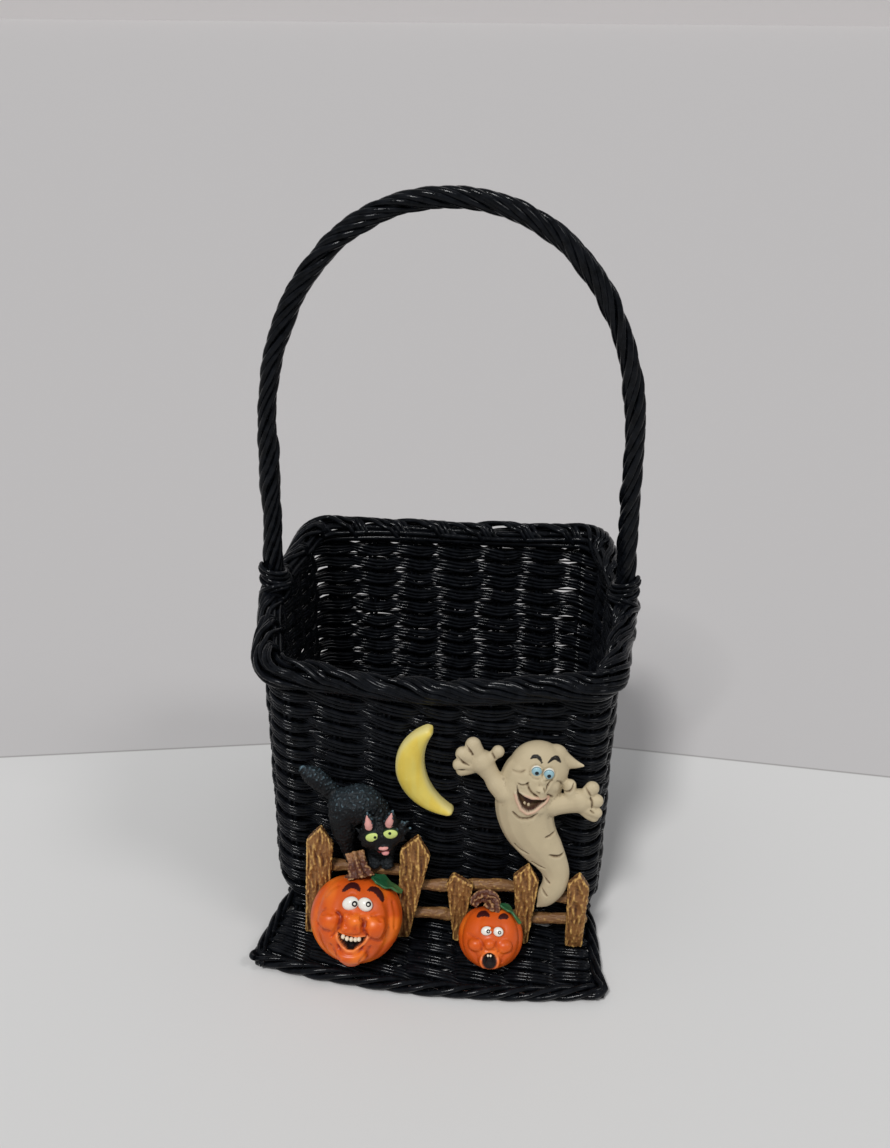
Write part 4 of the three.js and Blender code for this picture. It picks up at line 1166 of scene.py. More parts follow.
# What is modelled on each pumpkin, in shares of its radius: lumps of flesh (place, radii), the mouth,
# creases (line, width, depth) and brows. brow_relief is a brow's width and height as modelled, and
# brow_width its width as painted.
big_face = {
    "lumps": [
        ((0.1, 0.01, 0.93), (0.17, 0.13, 0.15)),
        ((-0.09, 0.1, 0.92), (0.1, 0.1, 0.1)),
        ((0.02, -0.12, 0.88), (0.26, 0.14, 0.14)),
        ((-0.45, 0.0, 0.75), (0.28, 0.2, 0.24)),
        ((0.47, -0.09, 0.73), (0.28, 0.2, 0.26)),
        ((0.0, -0.7, 0.6), (0.36, 0.24, 0.2)),
        ((-0.02, -0.78, 0.38), (0.26, 0.23, 0.2)),
    ],
    "mouth": [
        (-0.3, -0.235), (-0.16, -0.27), (0.02, -0.3), (0.18, -0.31), (0.33, -0.3), (0.27, -0.39),
        (0.17, -0.49), (0.06, -0.57), (-0.06, -0.57), (-0.16, -0.5), (-0.24, -0.38),
    ],
    "creases": [
        ([(-0.33, 0.2), (-0.24, 0.12), (-0.24, -0.02), (-0.3, -0.2), (-0.42, -0.34)], 0.04, 0.05),
        ([(0.2, 0.12), (0.28, 0.02), (0.27, -0.12), (0.34, -0.3)], 0.04, 0.045),
        ([(-0.78, -0.1), (-0.62, -0.22), (-0.44, -0.24)], 0.04, 0.035),
        ([(0.33, -0.28), (0.5, -0.38), (0.62, -0.4)], 0.03, 0.03),
        ([(-0.28, -0.5), (-0.2, -0.62), (-0.02, -0.68), (0.16, -0.62), (0.26, -0.5)], 0.035, 0.03),
        ([(0.62, 0.45), (0.73, 0.2), (0.75, -0.1), (0.66, -0.35)], 0.035, 0.03),
        ([(0.8, 0.4), (0.88, 0.15), (0.88, -0.15)], 0.03, 0.03),
        ([(-0.12, 0.52), (-0.03, 0.56), (0.06, 0.53)], 0.025, 0.02),
        ([(-0.12, -0.06), (-0.06, -0.12), (-0.1, -0.19)], 0.025, 0.025),
        ([(0.14, -0.05), (0.1, -0.13), (0.13, -0.19)], 0.025, 0.025),
        ([(-0.62, 0.12), (-0.52, 0.17), (-0.4, 0.14)], 0.03, 0.025),
        ([(0.4, 0.14), (0.52, 0.13), (0.62, 0.05)], 0.03, 0.025),
        ([(-0.45, -0.5), (-0.36, -0.68), (-0.22, -0.82)], 0.04, 0.035),
        ([(0.42, -0.5), (0.34, -0.68), (0.2, -0.84)], 0.04, 0.035),
        ([(-0.62, 0.45), (-0.5, 0.62), (-0.34, 0.7)], 0.03, 0.02),
    ],
    "brows": [
        [(-0.24, 0.59), (-0.14, 0.68), (-0.05, 0.715), (0.04, 0.69), (0.12, 0.62)],
        [(0.29, 0.63), (0.37, 0.655), (0.47, 0.615), (0.55, 0.53), (0.61, 0.42)],
    ],
    "brow_width": 0.042,
    "brow_relief": (0.05, 0.004),
    "mouth_slope": 0.035,
    "lip": {"height": 0.028, "gap": 0.03, "below": -0.3},
    "lip_paint": {"strength": 0.7, "below": -0.27},
}
small_face = {
    "lumps": [
        ((-0.02, -0.12, 0.9), (0.17, 0.14, 0.16)),
        ((-0.42, -0.16, 0.74), (0.26, 0.21, 0.22)),
        ((0.42, -0.17, 0.74), (0.26, 0.21, 0.22)),
        ((0.0, -0.64, 0.6), (0.34, 0.32, 0.24)),
        ((-0.08, 0.3, 0.86), (0.2, 0.17, 0.1)),
        ((0.24, 0.28, 0.84), (0.18, 0.16, 0.1)),
    ],
    "mouth": [
        (0.23 * math.sin(angle), -0.63 + 0.25 * math.cos(angle)) for angle in np.radians(range(0, 360, 20))
    ],
    "creases": [
        ([(-0.7, 0.12), (-0.5, 0.06), (-0.33, 0.02)], 0.035, 0.03),
        ([(-0.3, 0.0), (-0.23, -0.15), (-0.26, -0.34)], 0.035, 0.035),
        ([(0.2, -0.02), (0.2, -0.2), (0.26, -0.36)], 0.035, 0.035),
        ([(-0.15, -0.3), (0.0, -0.33), (0.15, -0.3)], 0.03, 0.03),
        ([(-0.6, -0.35), (-0.42, -0.5), (-0.36, -0.7)], 0.035, 0.025),
        ([(0.6, -0.36), (0.42, -0.5), (0.36, -0.7)], 0.035, 0.025),
    ],
    "brows": [
        [(-0.43, 0.62), (-0.32, 0.7), (-0.19, 0.73), (-0.05, 0.67)],
        [(0.24, 0.62), (0.36, 0.68), (0.52, 0.64)],
    ],
    "brow_width": 0.06,
    "brow_relief": (0.06, 0.012),
    "mouth_slope": 0.07,
    "lip": {"height": 0.03, "gap": 0.04, "below": 1},
    "lip_paint": {"strength": 0.3, "below": 1},
}


def pumpkin_casting(name, pumpkin, face, grain, softening):
    """A ribbed ball with lumps of flesh melted on, its creases drawn in and its mouth pressed in."""
    lumps = [pumpkin.lump(place, radii) for place, radii in face["lumps"]]
    piece = melted(name, [pumpkin.ribbed_ball(), *lumps], grain, softening)
    flat, _ = pumpkin.face_places(points_of(piece))
    mouth = depth_inside(flat, face["mouth"])
    lip = face["lip"]
    amount = -0.2 * np.clip(mouth / face["mouth_slope"], 0, 1)
    amount += lip["height"] * np.exp(-(((mouth + lip["gap"]) / 0.03) ** 2)) * (flat[:, 1] < lip["below"])
    for line, width, depth in face["creases"]:
        amount -= depth * stroke(flat, line, width)
    brow_width, brow_height = face["brow_relief"]
    for line in face["brows"]:
        amount += brow_height * stroke(flat, line, brow_width)
    press_on_face(piece, pumpkin, amount)
    cut_flat(piece)
    measure_relief(piece, spread=6, strength=12)
    return piece, mouth


brow_maroon = (0.04, 0.005, 0.006)
bright_orange, deep_orange, lip_orange = (0.88, 0.21, 0.018), (0.55, 0.085, 0.012), (0.9, 0.36, 0.14)
mouth_dark = (0.006, 0.002, 0.002)
tooth_white, eye_white = (0.78, 0.68, 0.52), (0.8, 0.77, 0.7)
pupil_black, pupil_dot = (0.008, 0.008, 0.01), (0.7, 0.68, 0.6)


def paint_face(piece, pumpkin, mouth, face):
    """Orange all over, with blotches, brows, a paler lip and a dark mouth. mouth is the depth inside it."""
    flat, out = pumpkin.face_places(points_of(piece))
    front = np.clip(out * 4, 0, 1)
    colors = plain_coat(piece, pumpkin_orange, shine=0.62)
    relief = relief_of(piece)
    blotch = np.array([noise.noise(Vector(place) * 0.09) for place in points_of(piece)])
    blend(colors, np.clip(blotch * 1.6, 0, 0.55), bright_orange)
    blend(colors, np.clip(-blotch * 1.3, 0, 0.4), deep_orange)
    for line in face["brows"]:
        blend(colors, (stroke(flat, line, face["brow_width"]) > 0.42) * front, brow_maroon)
        relief = relief * (stroke(flat, line, face["brow_width"] * 1.2) <= 0.3)
    lip = np.exp(-(((mouth + 0.028) / 0.022) ** 2)) * (flat[:, 1] < face["lip_paint"]["below"])
    blend(colors, lip * front * face["lip_paint"]["strength"], lip_orange)
    blend(colors, np.clip(mouth / 0.012 + 0.5, 0, 1) * front, mouth_dark)
    colors[:, 3] -= 0.6 * np.clip(mouth / 0.01, 0, 1)
    note_relief(piece, relief * (mouth < -0.01))
    paint_on(piece, colors)


def tooth(pumpkin, place, radii):
    piece = joined("tooth", [pumpkin.lump(place, radii)])
    paint_on(piece, plain_coat(piece, tooth_white, shine=0.75))
    return piece


def pumpkin_eye(pumpkin, place, radii, look, lean):
    """A white egg of an eye, leaning to one side, with a pale dot in its black pupil."""
    eye = eyeball((0, 0, 0), (1, 1, 1), (0, -1, 0), [(180, eye_white)])
    spots = points_of(eye)
    spots *= np.array([radii[0], radii[2], radii[1]]) * pumpkin.radius
    turn = np.array(Matrix.Rotation(math.radians(lean), 3, "Y"))
    move_points(eye, spots @ turn.T @ tilt_matrix.T + pumpkin.on_face(*place))
    facing = tilt_matrix @ np.array((0.12, -1, 0.05))
    rings = [(24, pupil_dot), (180, pupil_black)]
    pupil = eyeball(pumpkin.on_face(*look), [0.062 * pumpkin.radius] * 3, facing, rings)
    return [eye, pupil]


def join_features(piece, features):
    select_only(piece, *features)
    bpy.ops.object.join()
    piece.data.update()
    return piece


def finish_pumpkin(piece, features, node):
    finish_casting(join_features(piece, features), pumpkin_paint, "pumpkin_paint", node)


piece, mouth = pumpkin_casting("big_pumpkin_casting", big, big_face, grain=0.6, softening=26)
paint_face(piece, big, mouth, big_face)
big_teeth = ((-0.15, -0.3), (-0.065, -0.335), (0.025, -0.345), (0.11, -0.345), (0.185, -0.335))
features = [tooth(big, (x, y, 0.9), (0.044, 0.065, 0.05)) for x, y in big_teeth]
features += pumpkin_eye(big, (-0.04, 0.37, 0.87), (0.175, 0.14, 0.1), (0.055, 0.375, 0.94), lean=-20)
features += pumpkin_eye(big, (0.265, 0.36, 0.84), (0.16, 0.14, 0.1), (0.335, 0.375, 0.895), lean=25)
finish_pumpkin(piece, features, "big_pumpkin")

piece, mouth = pumpkin_casting("small_pumpkin_casting", small, small_face, grain=0.5, softening=18)
paint_face(piece, small, mouth, small_face)
features = [tooth(small, (x, -0.46, 0.84), (0.035, 0.045, 0.04)) for x in (-0.05, 0.03)]
features += pumpkin_eye(small, (-0.12, 0.27, 0.93), (0.17, 0.135, 0.1), (-0.07, 0.27, 1.0), lean=-12)
features += pumpkin_eye(small, (0.235, 0.26, 0.91), (0.155, 0.14, 0.1), (0.27, 0.25, 0.97), lean=15)
finish_pumpkin(piece, features, "small_pumpkin")

# Stems and leaves. The stems are ridged and maroon, with cream dry brushing; the big one is cut off
# straight and the small one curls over. The leaves lie over the pumpkins' shoulders.

stem_maroon, stem_dark, stem_cream = (0.09, 0.025, 0.011), (0.03, 0.008, 0.004), (0.62, 0.36, 0.15)
cut_brown = (0.45, 0.22, 0.09)
stem_paint = casting_paint("stem_maroon_paint", stem_dark, stem_cream, (0.95, 0.5), speckle=600)


def solid_of_rings(name, rings):
    """A closed form through rings of as many places each, with flat ends."""
    count = len(rings[0])
    faces = []
    for start in range(0, (len(rings) - 1) * count, count):
        for j in range(count):
            k = (j + 1) % count
            faces.append((start + j, start + k, start + count + k, start + count + j))
    last = (len(rings) - 1) * count
    faces += [tuple(range(count))[::-1], tuple(range(last, last + count))]
    return new_form(name, [place for ring in rings for place in ring], faces)


def ridged_stem(name, pumpkin, stations, ridges, cut_end):
    """A stem through stations of right, up, out and radius in shares of the pumpkin's radius."""
    run = smooth_run(stations, 10)
    count = ridges * 8
    rings = []
    spots = [Vector(pumpkin.on_face(*station[:3])) for station in run]
    for i, station in enumerate(run):
        along = direction_at(spots, i)
        across = along.cross(Vector((0, 1, 0))).normalized()
        other = along.cross(across)
        ring = []
        for j in range(count):
            angle = math.tau * j / count
            ridge = 1 + 0.22 * math.cos(ridges * angle + i * 0.05) + 0.05 * math.sin(3.1 * angle + i * 0.4)
            reach = station[3] * pumpkin.radius * ridge
            ring.append(spots[i] + across * (reach * math.cos(angle)) + other * (reach * math.sin(angle)))
        rings.append(ring)
    piece = solid_of_rings(name, rings)
    select_only(piece)
    bpy.ops.object.mode_set(mode="EDIT")
    bpy.ops.mesh.select_all(action="SELECT")
    bpy.ops.mesh.normals_make_consistent(inside=False)
    bpy.ops.object.mode_set(mode="OBJECT")
    piece = melted(name, [piece], grain=0.4, softening=2)
    places = points_of(piece)
    outward = directions_of(piece)
    rough = np.array([noise.noise(Vector(place) * 0.8) for place in places])
    move_points(piece, places + outward * (0.5 * rough)[:, None])
    measure_relief(piece, spread=5, strength=14)
    colors = plain_coat(piece, stem_maroon, shine=0.3)
    if cut_end:
        end = np.linalg.norm(places - np.array(spots[-1]), axis=1)
        blend(colors, np.clip(1.5 - end / (0.2 * pumpkin.radius), 0, 0.6), cut_brown)
    paint_on(piece, colors)
    return piece


big_stem_run = [
    (0.06, 0.86, 0.34, 0.29), (0.03, 0.99, 0.34, 0.22), (-0.02, 1.15, 0.3, 0.19), (-0.08, 1.36, 0.26, 0.19),
]
small_stem_run = [
    (0.0, 0.82, 0.36, 0.25), (0.06, 0.97, 0.36, 0.2), (0.0, 1.15, 0.25, 0.18),
    (-0.25, 1.22, 0.15, 0.18), (-0.48, 1.08, 0.15, 0.15), (-0.56, 0.88, 0.2, 0.1),
]
big_stem = ridged_stem("big_stem_casting", big, big_stem_run, ridges=6, cut_end=True)
finish_casting(big_stem, stem_paint, "stem_paint", "big_stem")
small_stem = ridged_stem("small_stem_casting", small, small_stem_run, ridges=5, cut_end=False)
finish_casting(small_stem, stem_paint, "stem_paint", "small_stem")

leaf_green, leaf_dark, leaf_light = (0.012, 0.09, 0.035), (0.004, 0.03, 0.014), (0.07, 0.2, 0.06)
leaf_tip_green = (0.07, 0.17, 0.05)
leaf_paint = casting_paint("leaf_green_paint", leaf_dark, leaf_light, (0.8, 0.75), speckle=500)


def leaf(name, pumpkin, root, bend, tip, half_width):
    """A leaf along three places on the face, folded along its middle, with a wavy edge."""
    spine = smooth_run([root, bend, tip], 14)
    middle = Vector(pumpkin.middle)
    spots = [Vector(pumpkin.on_face(*station)) for station in spine]
    rows = 12
    places = []
    for i, spot in enumerate(spots):
        share = i / (len(spots) - 1)
        up = (spot - middle).normalized()
        along = direction_at(spots, i)
        across = along.cross(up).normalized()
        half = half_width * math.sin(math.pi * (0.06 + 0.9 * share**0.8)) ** 0.7
        half *= 1 + 0.13 * math.sin(share * 17)
        for j in range(rows + 1):
            side = j / rows * 2 - 1
            lift = 0.45 * abs(side) + 0.5 * math.sin(share * 9 + side * 2) * abs(side)
            vein = 0.35 * abs(math.sin(share * 16 - abs(side) * 3)) * (1 - abs(side))
            places.append(spot + across * (half * side) + up * (0.6 + lift * 1.3 + vein))
    faces = []
    for i in range(len(spots) - 1):
        for j in range(rows):
            a = i * (rows + 1) + j
            faces.append((a, a + rows + 1, a + rows + 2, a + 1))
    piece = new_form(name, places, faces)
    apply_modifier(piece, "SOLIDIFY", thickness=1.4 * mm, offset=0)
    piece = melted(name, [piece], grain=0.4, softening=3)
    measure_relief(piece, spread=4, strength=9)
    places = points_of(piece)
    colors = plain_coat(piece, leaf_green, shine=0.55)
    from_tip = np.linalg.norm(places - pumpkin.on_face(*tip), axis=1)
    blend(colors, np.clip(1 - from_tip / (half_width * 2.2), 0, 0.6), leaf_tip_green)
    paint_on(piece, colors)
    return piece


big_leaf_run = (0.31, 0.84, 0.4), (0.6, 0.74, 0.28), (0.93, 0.55, 0.12)
small_leaf_run = (0.2, 0.93, 0.3), (0.52, 0.8, 0.22), (0.85, 0.42, 0.28)
big_leaf = leaf("big_leaf_casting", big, *big_leaf_run, half_width=5.6)
finish_casting(big_leaf, leaf_paint, "leaf_paint", "big_leaf")
small_leaf = leaf("small_leaf_casting", small, *small_leaf_run, half_width=3.3)
finish_casting(small_leaf, leaf_paint, "leaf_paint", "small_leaf")

# The cat. It stands on the top rail with its back arched, all in matt black, with blue-grey brushed
# over its fur, pink ears, green-yellow eyes and its mouth open.

cat_black, cat_dark, cat_blue = (0.003, 0.0036, 0.0045), (0.001, 0.001, 0.002), (0.15, 0.24, 0.29)
paw_gray, back_highlight_gray, mouth_red = (0.06, 0.07, 0.08), (0.035, 0.05, 0.06), (0.2, 0.018, 0.02)
cat_paint = casting_paint(
    "cat_black_paint", cat_dark, cat_blue, (0.8, 0.75), speckle=1200, bumps=0.3, specular=0.2
)
head_turn = (0, -14, 0)


def cat_body():
    lumps = [
        limb([(-52, -103, 99, 11), (-44, -102.5, 100, 11.8), (-37, -102, 95, 10.2), (-31, -106, 86, 8.5)]),
        limb([(-53.5, -105.5, 95, 9), (-53.5, -106.5, 84, 7.4), (-52.5, -106, 75, 5), (-50, -105.5, 64, 4)]),
        limb([(-50, -105.5, 63, 4), (-47, -108.5, 61.5, 3.6)]),
        limb([
            (-59, -99, 103, 4.5), (-65, -98.5, 109.5, 5.2), (-70.5, -98.5, 114.5, 5.7),
            (-75, -98.5, 118, 4.6), (-78, -98.5, 120.5, 2.4),
        ]),
        ball((-31, -107, 76), (9, 7, 11)),
        limb([(-35, -108, 76, 5), (-35.8, -107.5, 68, 4.1), (-35.8, -108.5, 62.4, 4)]),
        limb([(-28.5, -108, 76, 5), (-28.2, -107.5, 68, 4.1), (-28, -108.5, 62.4, 4)]),
        ball((-30.5, -111.5, 87.5), (13, 9.5, 10.5), head_turn),
        ball((-28.5, -119, 83), (5.2, 3.2, 4.2), head_turn),
        ball((-34.7, -117.5, 90), (5, 2.4, 3.8), head_turn),
        ball((-24.6, -117, 92.6), (5, 2.4, 3.9), head_turn),
        limb([(-36.6, -114, 92, 4.4), (-37.3, -115.3, 97.5, 3.8), (-38.4, -115.6, 104.4, 0.7)]),
        limb([(-25.6, -114, 95, 4.4), (-24.7, -115.3, 100, 3.8), (-23.5, -115.6, 106.8, 0.7)]),
    ]
    tufts = [
        ((-41, -111, 86), (-45.5, -110, 88)),
        ((-41, -111, 83), (-45, -110, 82)),
        ((-39.5, -112, 80), (-42.5, -111, 76.5)),
        ((-19.5, -111, 92), (-14.5, -109, 94.5)),
        ((-18.5, -111, 89), (-13.6, -109, 89.5)),
        ((-20, -112, 85), (-16.5, -111, 82)),
    ]
    lumps += [limb([(*start, 3), (*end, 0.5)], steps=4) for start, end in tufts]
    return melted("black_cat", lumps, grain=0.5, softening=4)


# Between the cat's front toes: each line's x at its top and at its foot
toe_lines = ((-36, -36), (-28, -28), (-37.6, -38), (-34.4, -34), (-29.8, -30.2), (-26.4, -26))
cat_mouth = [(-31.6, 81), (-28.6, 82.4), (-24.9, 82.6), (-25.3, 79.6), (-27, 77.2), (-29.6, 77.6)]
cat_haunch = [(-40, 100), (-45, 84), (-44, 72)]


def fur_at(x, y, z):
    tufts = noise.noise(Vector((x * 0.62 + z * 0.2, y * 0.55, z * 0.62 - x * 0.2)))
    return tufts + 0.5 * noise.noise(Vector((x, y, z)) * 1.1)


def cat_casting():
    piece = cat_body()
    places = points_of(piece)
    outward = directions_of(piece)
    flat = places[:, [0, 2]]
    face = np.exp(-(((places - (-30, -114, 86)) / (12, 8, 10)) ** 2).sum(axis=1) ** 2)
    fur = np.array([fur_at(*place) for place in places])
    amount = 0.75 * fur * (1 - 0.8 * face)
    for top, foot in toe_lines:
        toes = [(top, 68 if top == foot else 67), (foot, 62)]
        amount -= 0.5 * stroke(flat, toes, 0.45, taper=0) * (places[:, 1] < -108)
    amount -= 0.9 * stroke(flat, cat_haunch, 1.2) * (places[:, 1] > -110)
    move_points(piece, places + outward * amount[:, None])
    deep = depth_inside(flat, cat_mouth)
    front = places[:, 1] < -112
    places = points_of(piece)
    places[:, 1] += 2.2 * np.clip(deep / 0.8, 0, 1) * front
    move_points(piece, places)
    measure_relief(piece, spread=4, strength=8)
    relief = relief_of(piece)
    # The dry brush caught the fur on the back and hardly the face and legs
    brushed = np.clip(outward[:, 2] * 1.5 + 0.2, 0.12, 1) * (1 - 0.7 * face)
    brushed *= np.where(places[:, 2] > 90, 1, 0.3)
    note_relief(piece, np.where(relief > 0, relief * brushed, relief))
    colors = plain_coat(piece, cat_black, shine=0.3)
    blend(colors, np.clip(deep / 0.3 + 1.6, 0, 1) * front * 0.9, mouth_red)
    paws = (places[:, 2] < 68) & (places[:, 1] < -109)
    blend(colors, paws * 0.25, paw_gray)
    # Painted highlight: the top of the back and tail, where it faces up, is lightened to grey
    back = np.clip(outward[:, 2] * 1.3 - 0.25, 0, 1) * (places[:, 2] > 92) * (places[:, 0] < -33)
    blend(colors, back * 0.35, back_highlight_gray)
    paint_on(piece, colors)
    return piece


def painted(name, form, color, shine=0.5):
    piece = joined(name, [form])
    bpy.ops.object.shade_smooth()
    paint_on(piece, plain_coat(piece, color, shine))
    return piece


def painted_ball(place, radii, color, shine=0.5, turn=(0, 0, 0)):
    return painted("spot", ball(place, radii, turn), color, shine)


eye_rim_green, eye_lime, eye_dot_green = (0.01, 0.03, 0.012), (0.56, 0.66, 0.2), (0.01, 0.02, 0.008)
ear_pink, nose_pink, tongue_pink = (0.62, 0.3, 0.27), (0.66, 0.3, 0.27), (0.66, 0.27, 0.26)


def cat_eye(place, pupil):
    rim = painted_ball(place, (4.9, 1.9, 3.6), eye_rim_green, 0.4, head_turn)
    front = Vector(place) + Vector((0.1, -0.95, -0.1))
    eye = painted_ball(front, (4.4, 1.5, 3.1), eye_lime, 0.8, head_turn)
    dot = painted_ball(pupil, (0.95, 0.7, 0.95), eye_dot_green, 0.8)
    return [rim, eye, dot]


left_ear = [(-37, -117, 96, 2.6), (-37.4, -117.4, 98.6, 2.2), (-38.2, -116.5, 102.8, 0.5)]
right_ear = [(-25.2, -117, 98.6, 2.6), (-24.7, -117.4, 101.2, 2.2), (-23.8, -116.5, 105.3, 0.5)]
piece = cat_casting()
features = cat_eye((-34.7, -118.3, 89.9), (-33.2, -120.4, 90.8))
features += cat_eye((-24.6, -118, 92.7), (-24.6, -120.1, 94))
features += [
    painted("ear", limb(left_ear), ear_pink),
    painted("ear", limb(right_ear), ear_pink),
    painted_ball((-28.3, -121.6, 84.2), (2.9, 1.4, 1.25), nose_pink, 0.7, (0, -8, 0)),
    painted_ball((-27.4, -120.2, 79.9), (2.2, 1.6, 1.7), tongue_pink, 0.7),
]
finish_casting(join_features(piece, features), cat_paint, "cat_paint", "cat")

# The ghost. It is one thick relief, bone-coloured, that leans from the wall out over the rails. Its
# hood ends in a curl, and its tail is twisted, with a brown wash and painted shade in the creases.

ghost_bone, ghost_wash, ghost_light = (0.49, 0.405, 0.262), (0.075, 0.04, 0.016), (0.66, 0.58, 0.42)
crease_wash_and_shade, lip_pink, throat_dark = (0.13, 0.07, 0.03), (0.6, 0.27, 0.2), (0.05, 0.02, 0.014)
brow_black, ghost_tooth = (0.008, 0.006, 0.005), (0.62, 0.5, 0.33)
iris_blue, iris_rim, eyeball_pale = (0.28, 0.45, 0.5), (0.03, 0.06, 0.08), (0.72, 0.72, 0.66)
ghost_pupil = (0.01, 0.012, 0.014)
ghost_paint = casting_paint(
    "ghost_bone_paint", ghost_wash, ghost_light, (1.0, 0.3), speckle=700, bumps=0.08, specular=0.25
)
ghost_top, ghost_tip, ghost_lean = 145, 38, 22.9
ghost_drop, tail_press = 1, 3.46
wall_face = -91.6


def ghost_middle(z):
    """How far forward the middle of the ghost's thickness is at height z."""
    return -93.4 - ghost_lean * (ghost_top - z) / (ghost_top - ghost_tip)


def ghost_limb(stations, out=0.0):
    return limb([(x, ghost_middle(z) - out, z, radius) for x, z, radius in stations])


def ghost_ball(place, out, radii):
    x, z = place
    return ball((x, ghost_middle(z) - out, z), radii)


ghost_trunk = [
    (53.5, 114, 18.3), (52.8, 105, 17.7), (53.7, 98, 16.6), (56.3, 91, 15.4), (60.3, 84.3, 13.6),
    (65, 77.8, 12), (68.6, 72.6, 10.2), (71.6, 67, 8.8), (72.8, 61.5, 8), (71.9, 55.8, 7.6),
    (69, 50, 6.8), (66, 45, 4.6), (62.6, 41.3, 0.9),
]


def ghost_body():
    flesh = [
        ghost_limb(ghost_trunk),
        ghost_limb([(54, 116, 18.5), (57, 124, 18.4), (59.3, 129, 17)]),
        ball((60, ghost_middle(129), 129), (17.2, 17, 16.2)),
        ghost_limb([(43.5, 117, 8.5), (49.5, 127, 10), (57, 134, 10.5)]),
        ghost_limb([(69, 136.8, 7.4), (75.5, 133.8, 4.9), (81, 132.2, 2.7), (85.2, 131.6, 1)]),
    ]
    body = joined("ghost_body", flesh)
    places = points_of(body)
    middle = ghost_middle(places[:, 2])
    places[:, 1] = middle + (places[:, 1] - middle) * 0.66
    move_points(body, places)
    arms = [
        ghost_limb([(42, 115.5, 8.2), (36, 120.5, 6.6), (32.3, 125.5, 5.4), (27, 133, 7.4)], 3),
        ghost_limb([(68, 108.5, 7.4), (76, 109.5, 6.2), (84.3, 111.5, 7.4)], 2),
        ghost_limb([(25, 137, 4.5), (23, 140.8, 4.6), (21.6, 143.6, 4.7)], 4),
        ghost_limb([(22, 135, 4), (18.6, 136.6, 4.4), (15.9, 137.8, 4.5)], 4),
        ghost_limb([(21, 131.5, 3.8), (17, 131.4, 3.9), (13.8, 131.2, 3.9)], 4),
        ghost_limb([(22, 129, 3.2), (18, 127.8, 3.4), (15.3, 127.2, 3.4)], 3),
        ghost_limb([(30, 134.5, 4), (33.5, 137.8, 3.2), (36, 140.2, 3.8)], 4),
        ghost_limb([(86, 115, 4), (89, 118.6, 4.1), (90.7, 120.6, 4.3)], 4),
        ghost_limb([(87.5, 112, 4), (91, 112.8, 4), (93.6, 113, 4.2)], 4),
        ghost_limb([(87, 108.5, 3.6), (91, 106.6, 3.6), (94, 105.6, 3.5)], 4),
        ghost_limb([(86, 106.5, 3), (90, 103.6, 3.1), (92.8, 102.3, 3)], 3),
        ghost_limb([(79.5, 114, 4.4), (78.3, 118.5, 3.8), (77.9, 121.2, 3.9)], 3),
    ]
    arms = joined("ghost_arms", arms)
    places = points_of(arms)
    middle = ghost_middle(places[:, 2]) - 3
    places[:, 1] = middle + (places[:, 1] - middle) * 0.85
    move_points(arms, places)
    features = [
        ghost_ball((61.8, 127.5), 10, (2.8, 3, 4.4)),
        ghost_ball((61.3, 122.6), 9.6, (4.4, 4.2, 3.6)),
        ghost_ball((61.8, 119.8), 10.2, (3, 3, 3)),
        ghost_ball((51, 125), 9, (5, 3.4, 4)),
        ghost_ball((68.2, 121.8), 6, (3.8, 3, 4.6)),
        ghost_ball((55, 108.5), 8.5, (9, 3.6, 4.4)),
        ghost_ball((47.5, 113), 8, (3.6, 3, 6)),
    ]
    return melted("cast_ghost", [body, arms, *features], grain=0.55, softening=10)


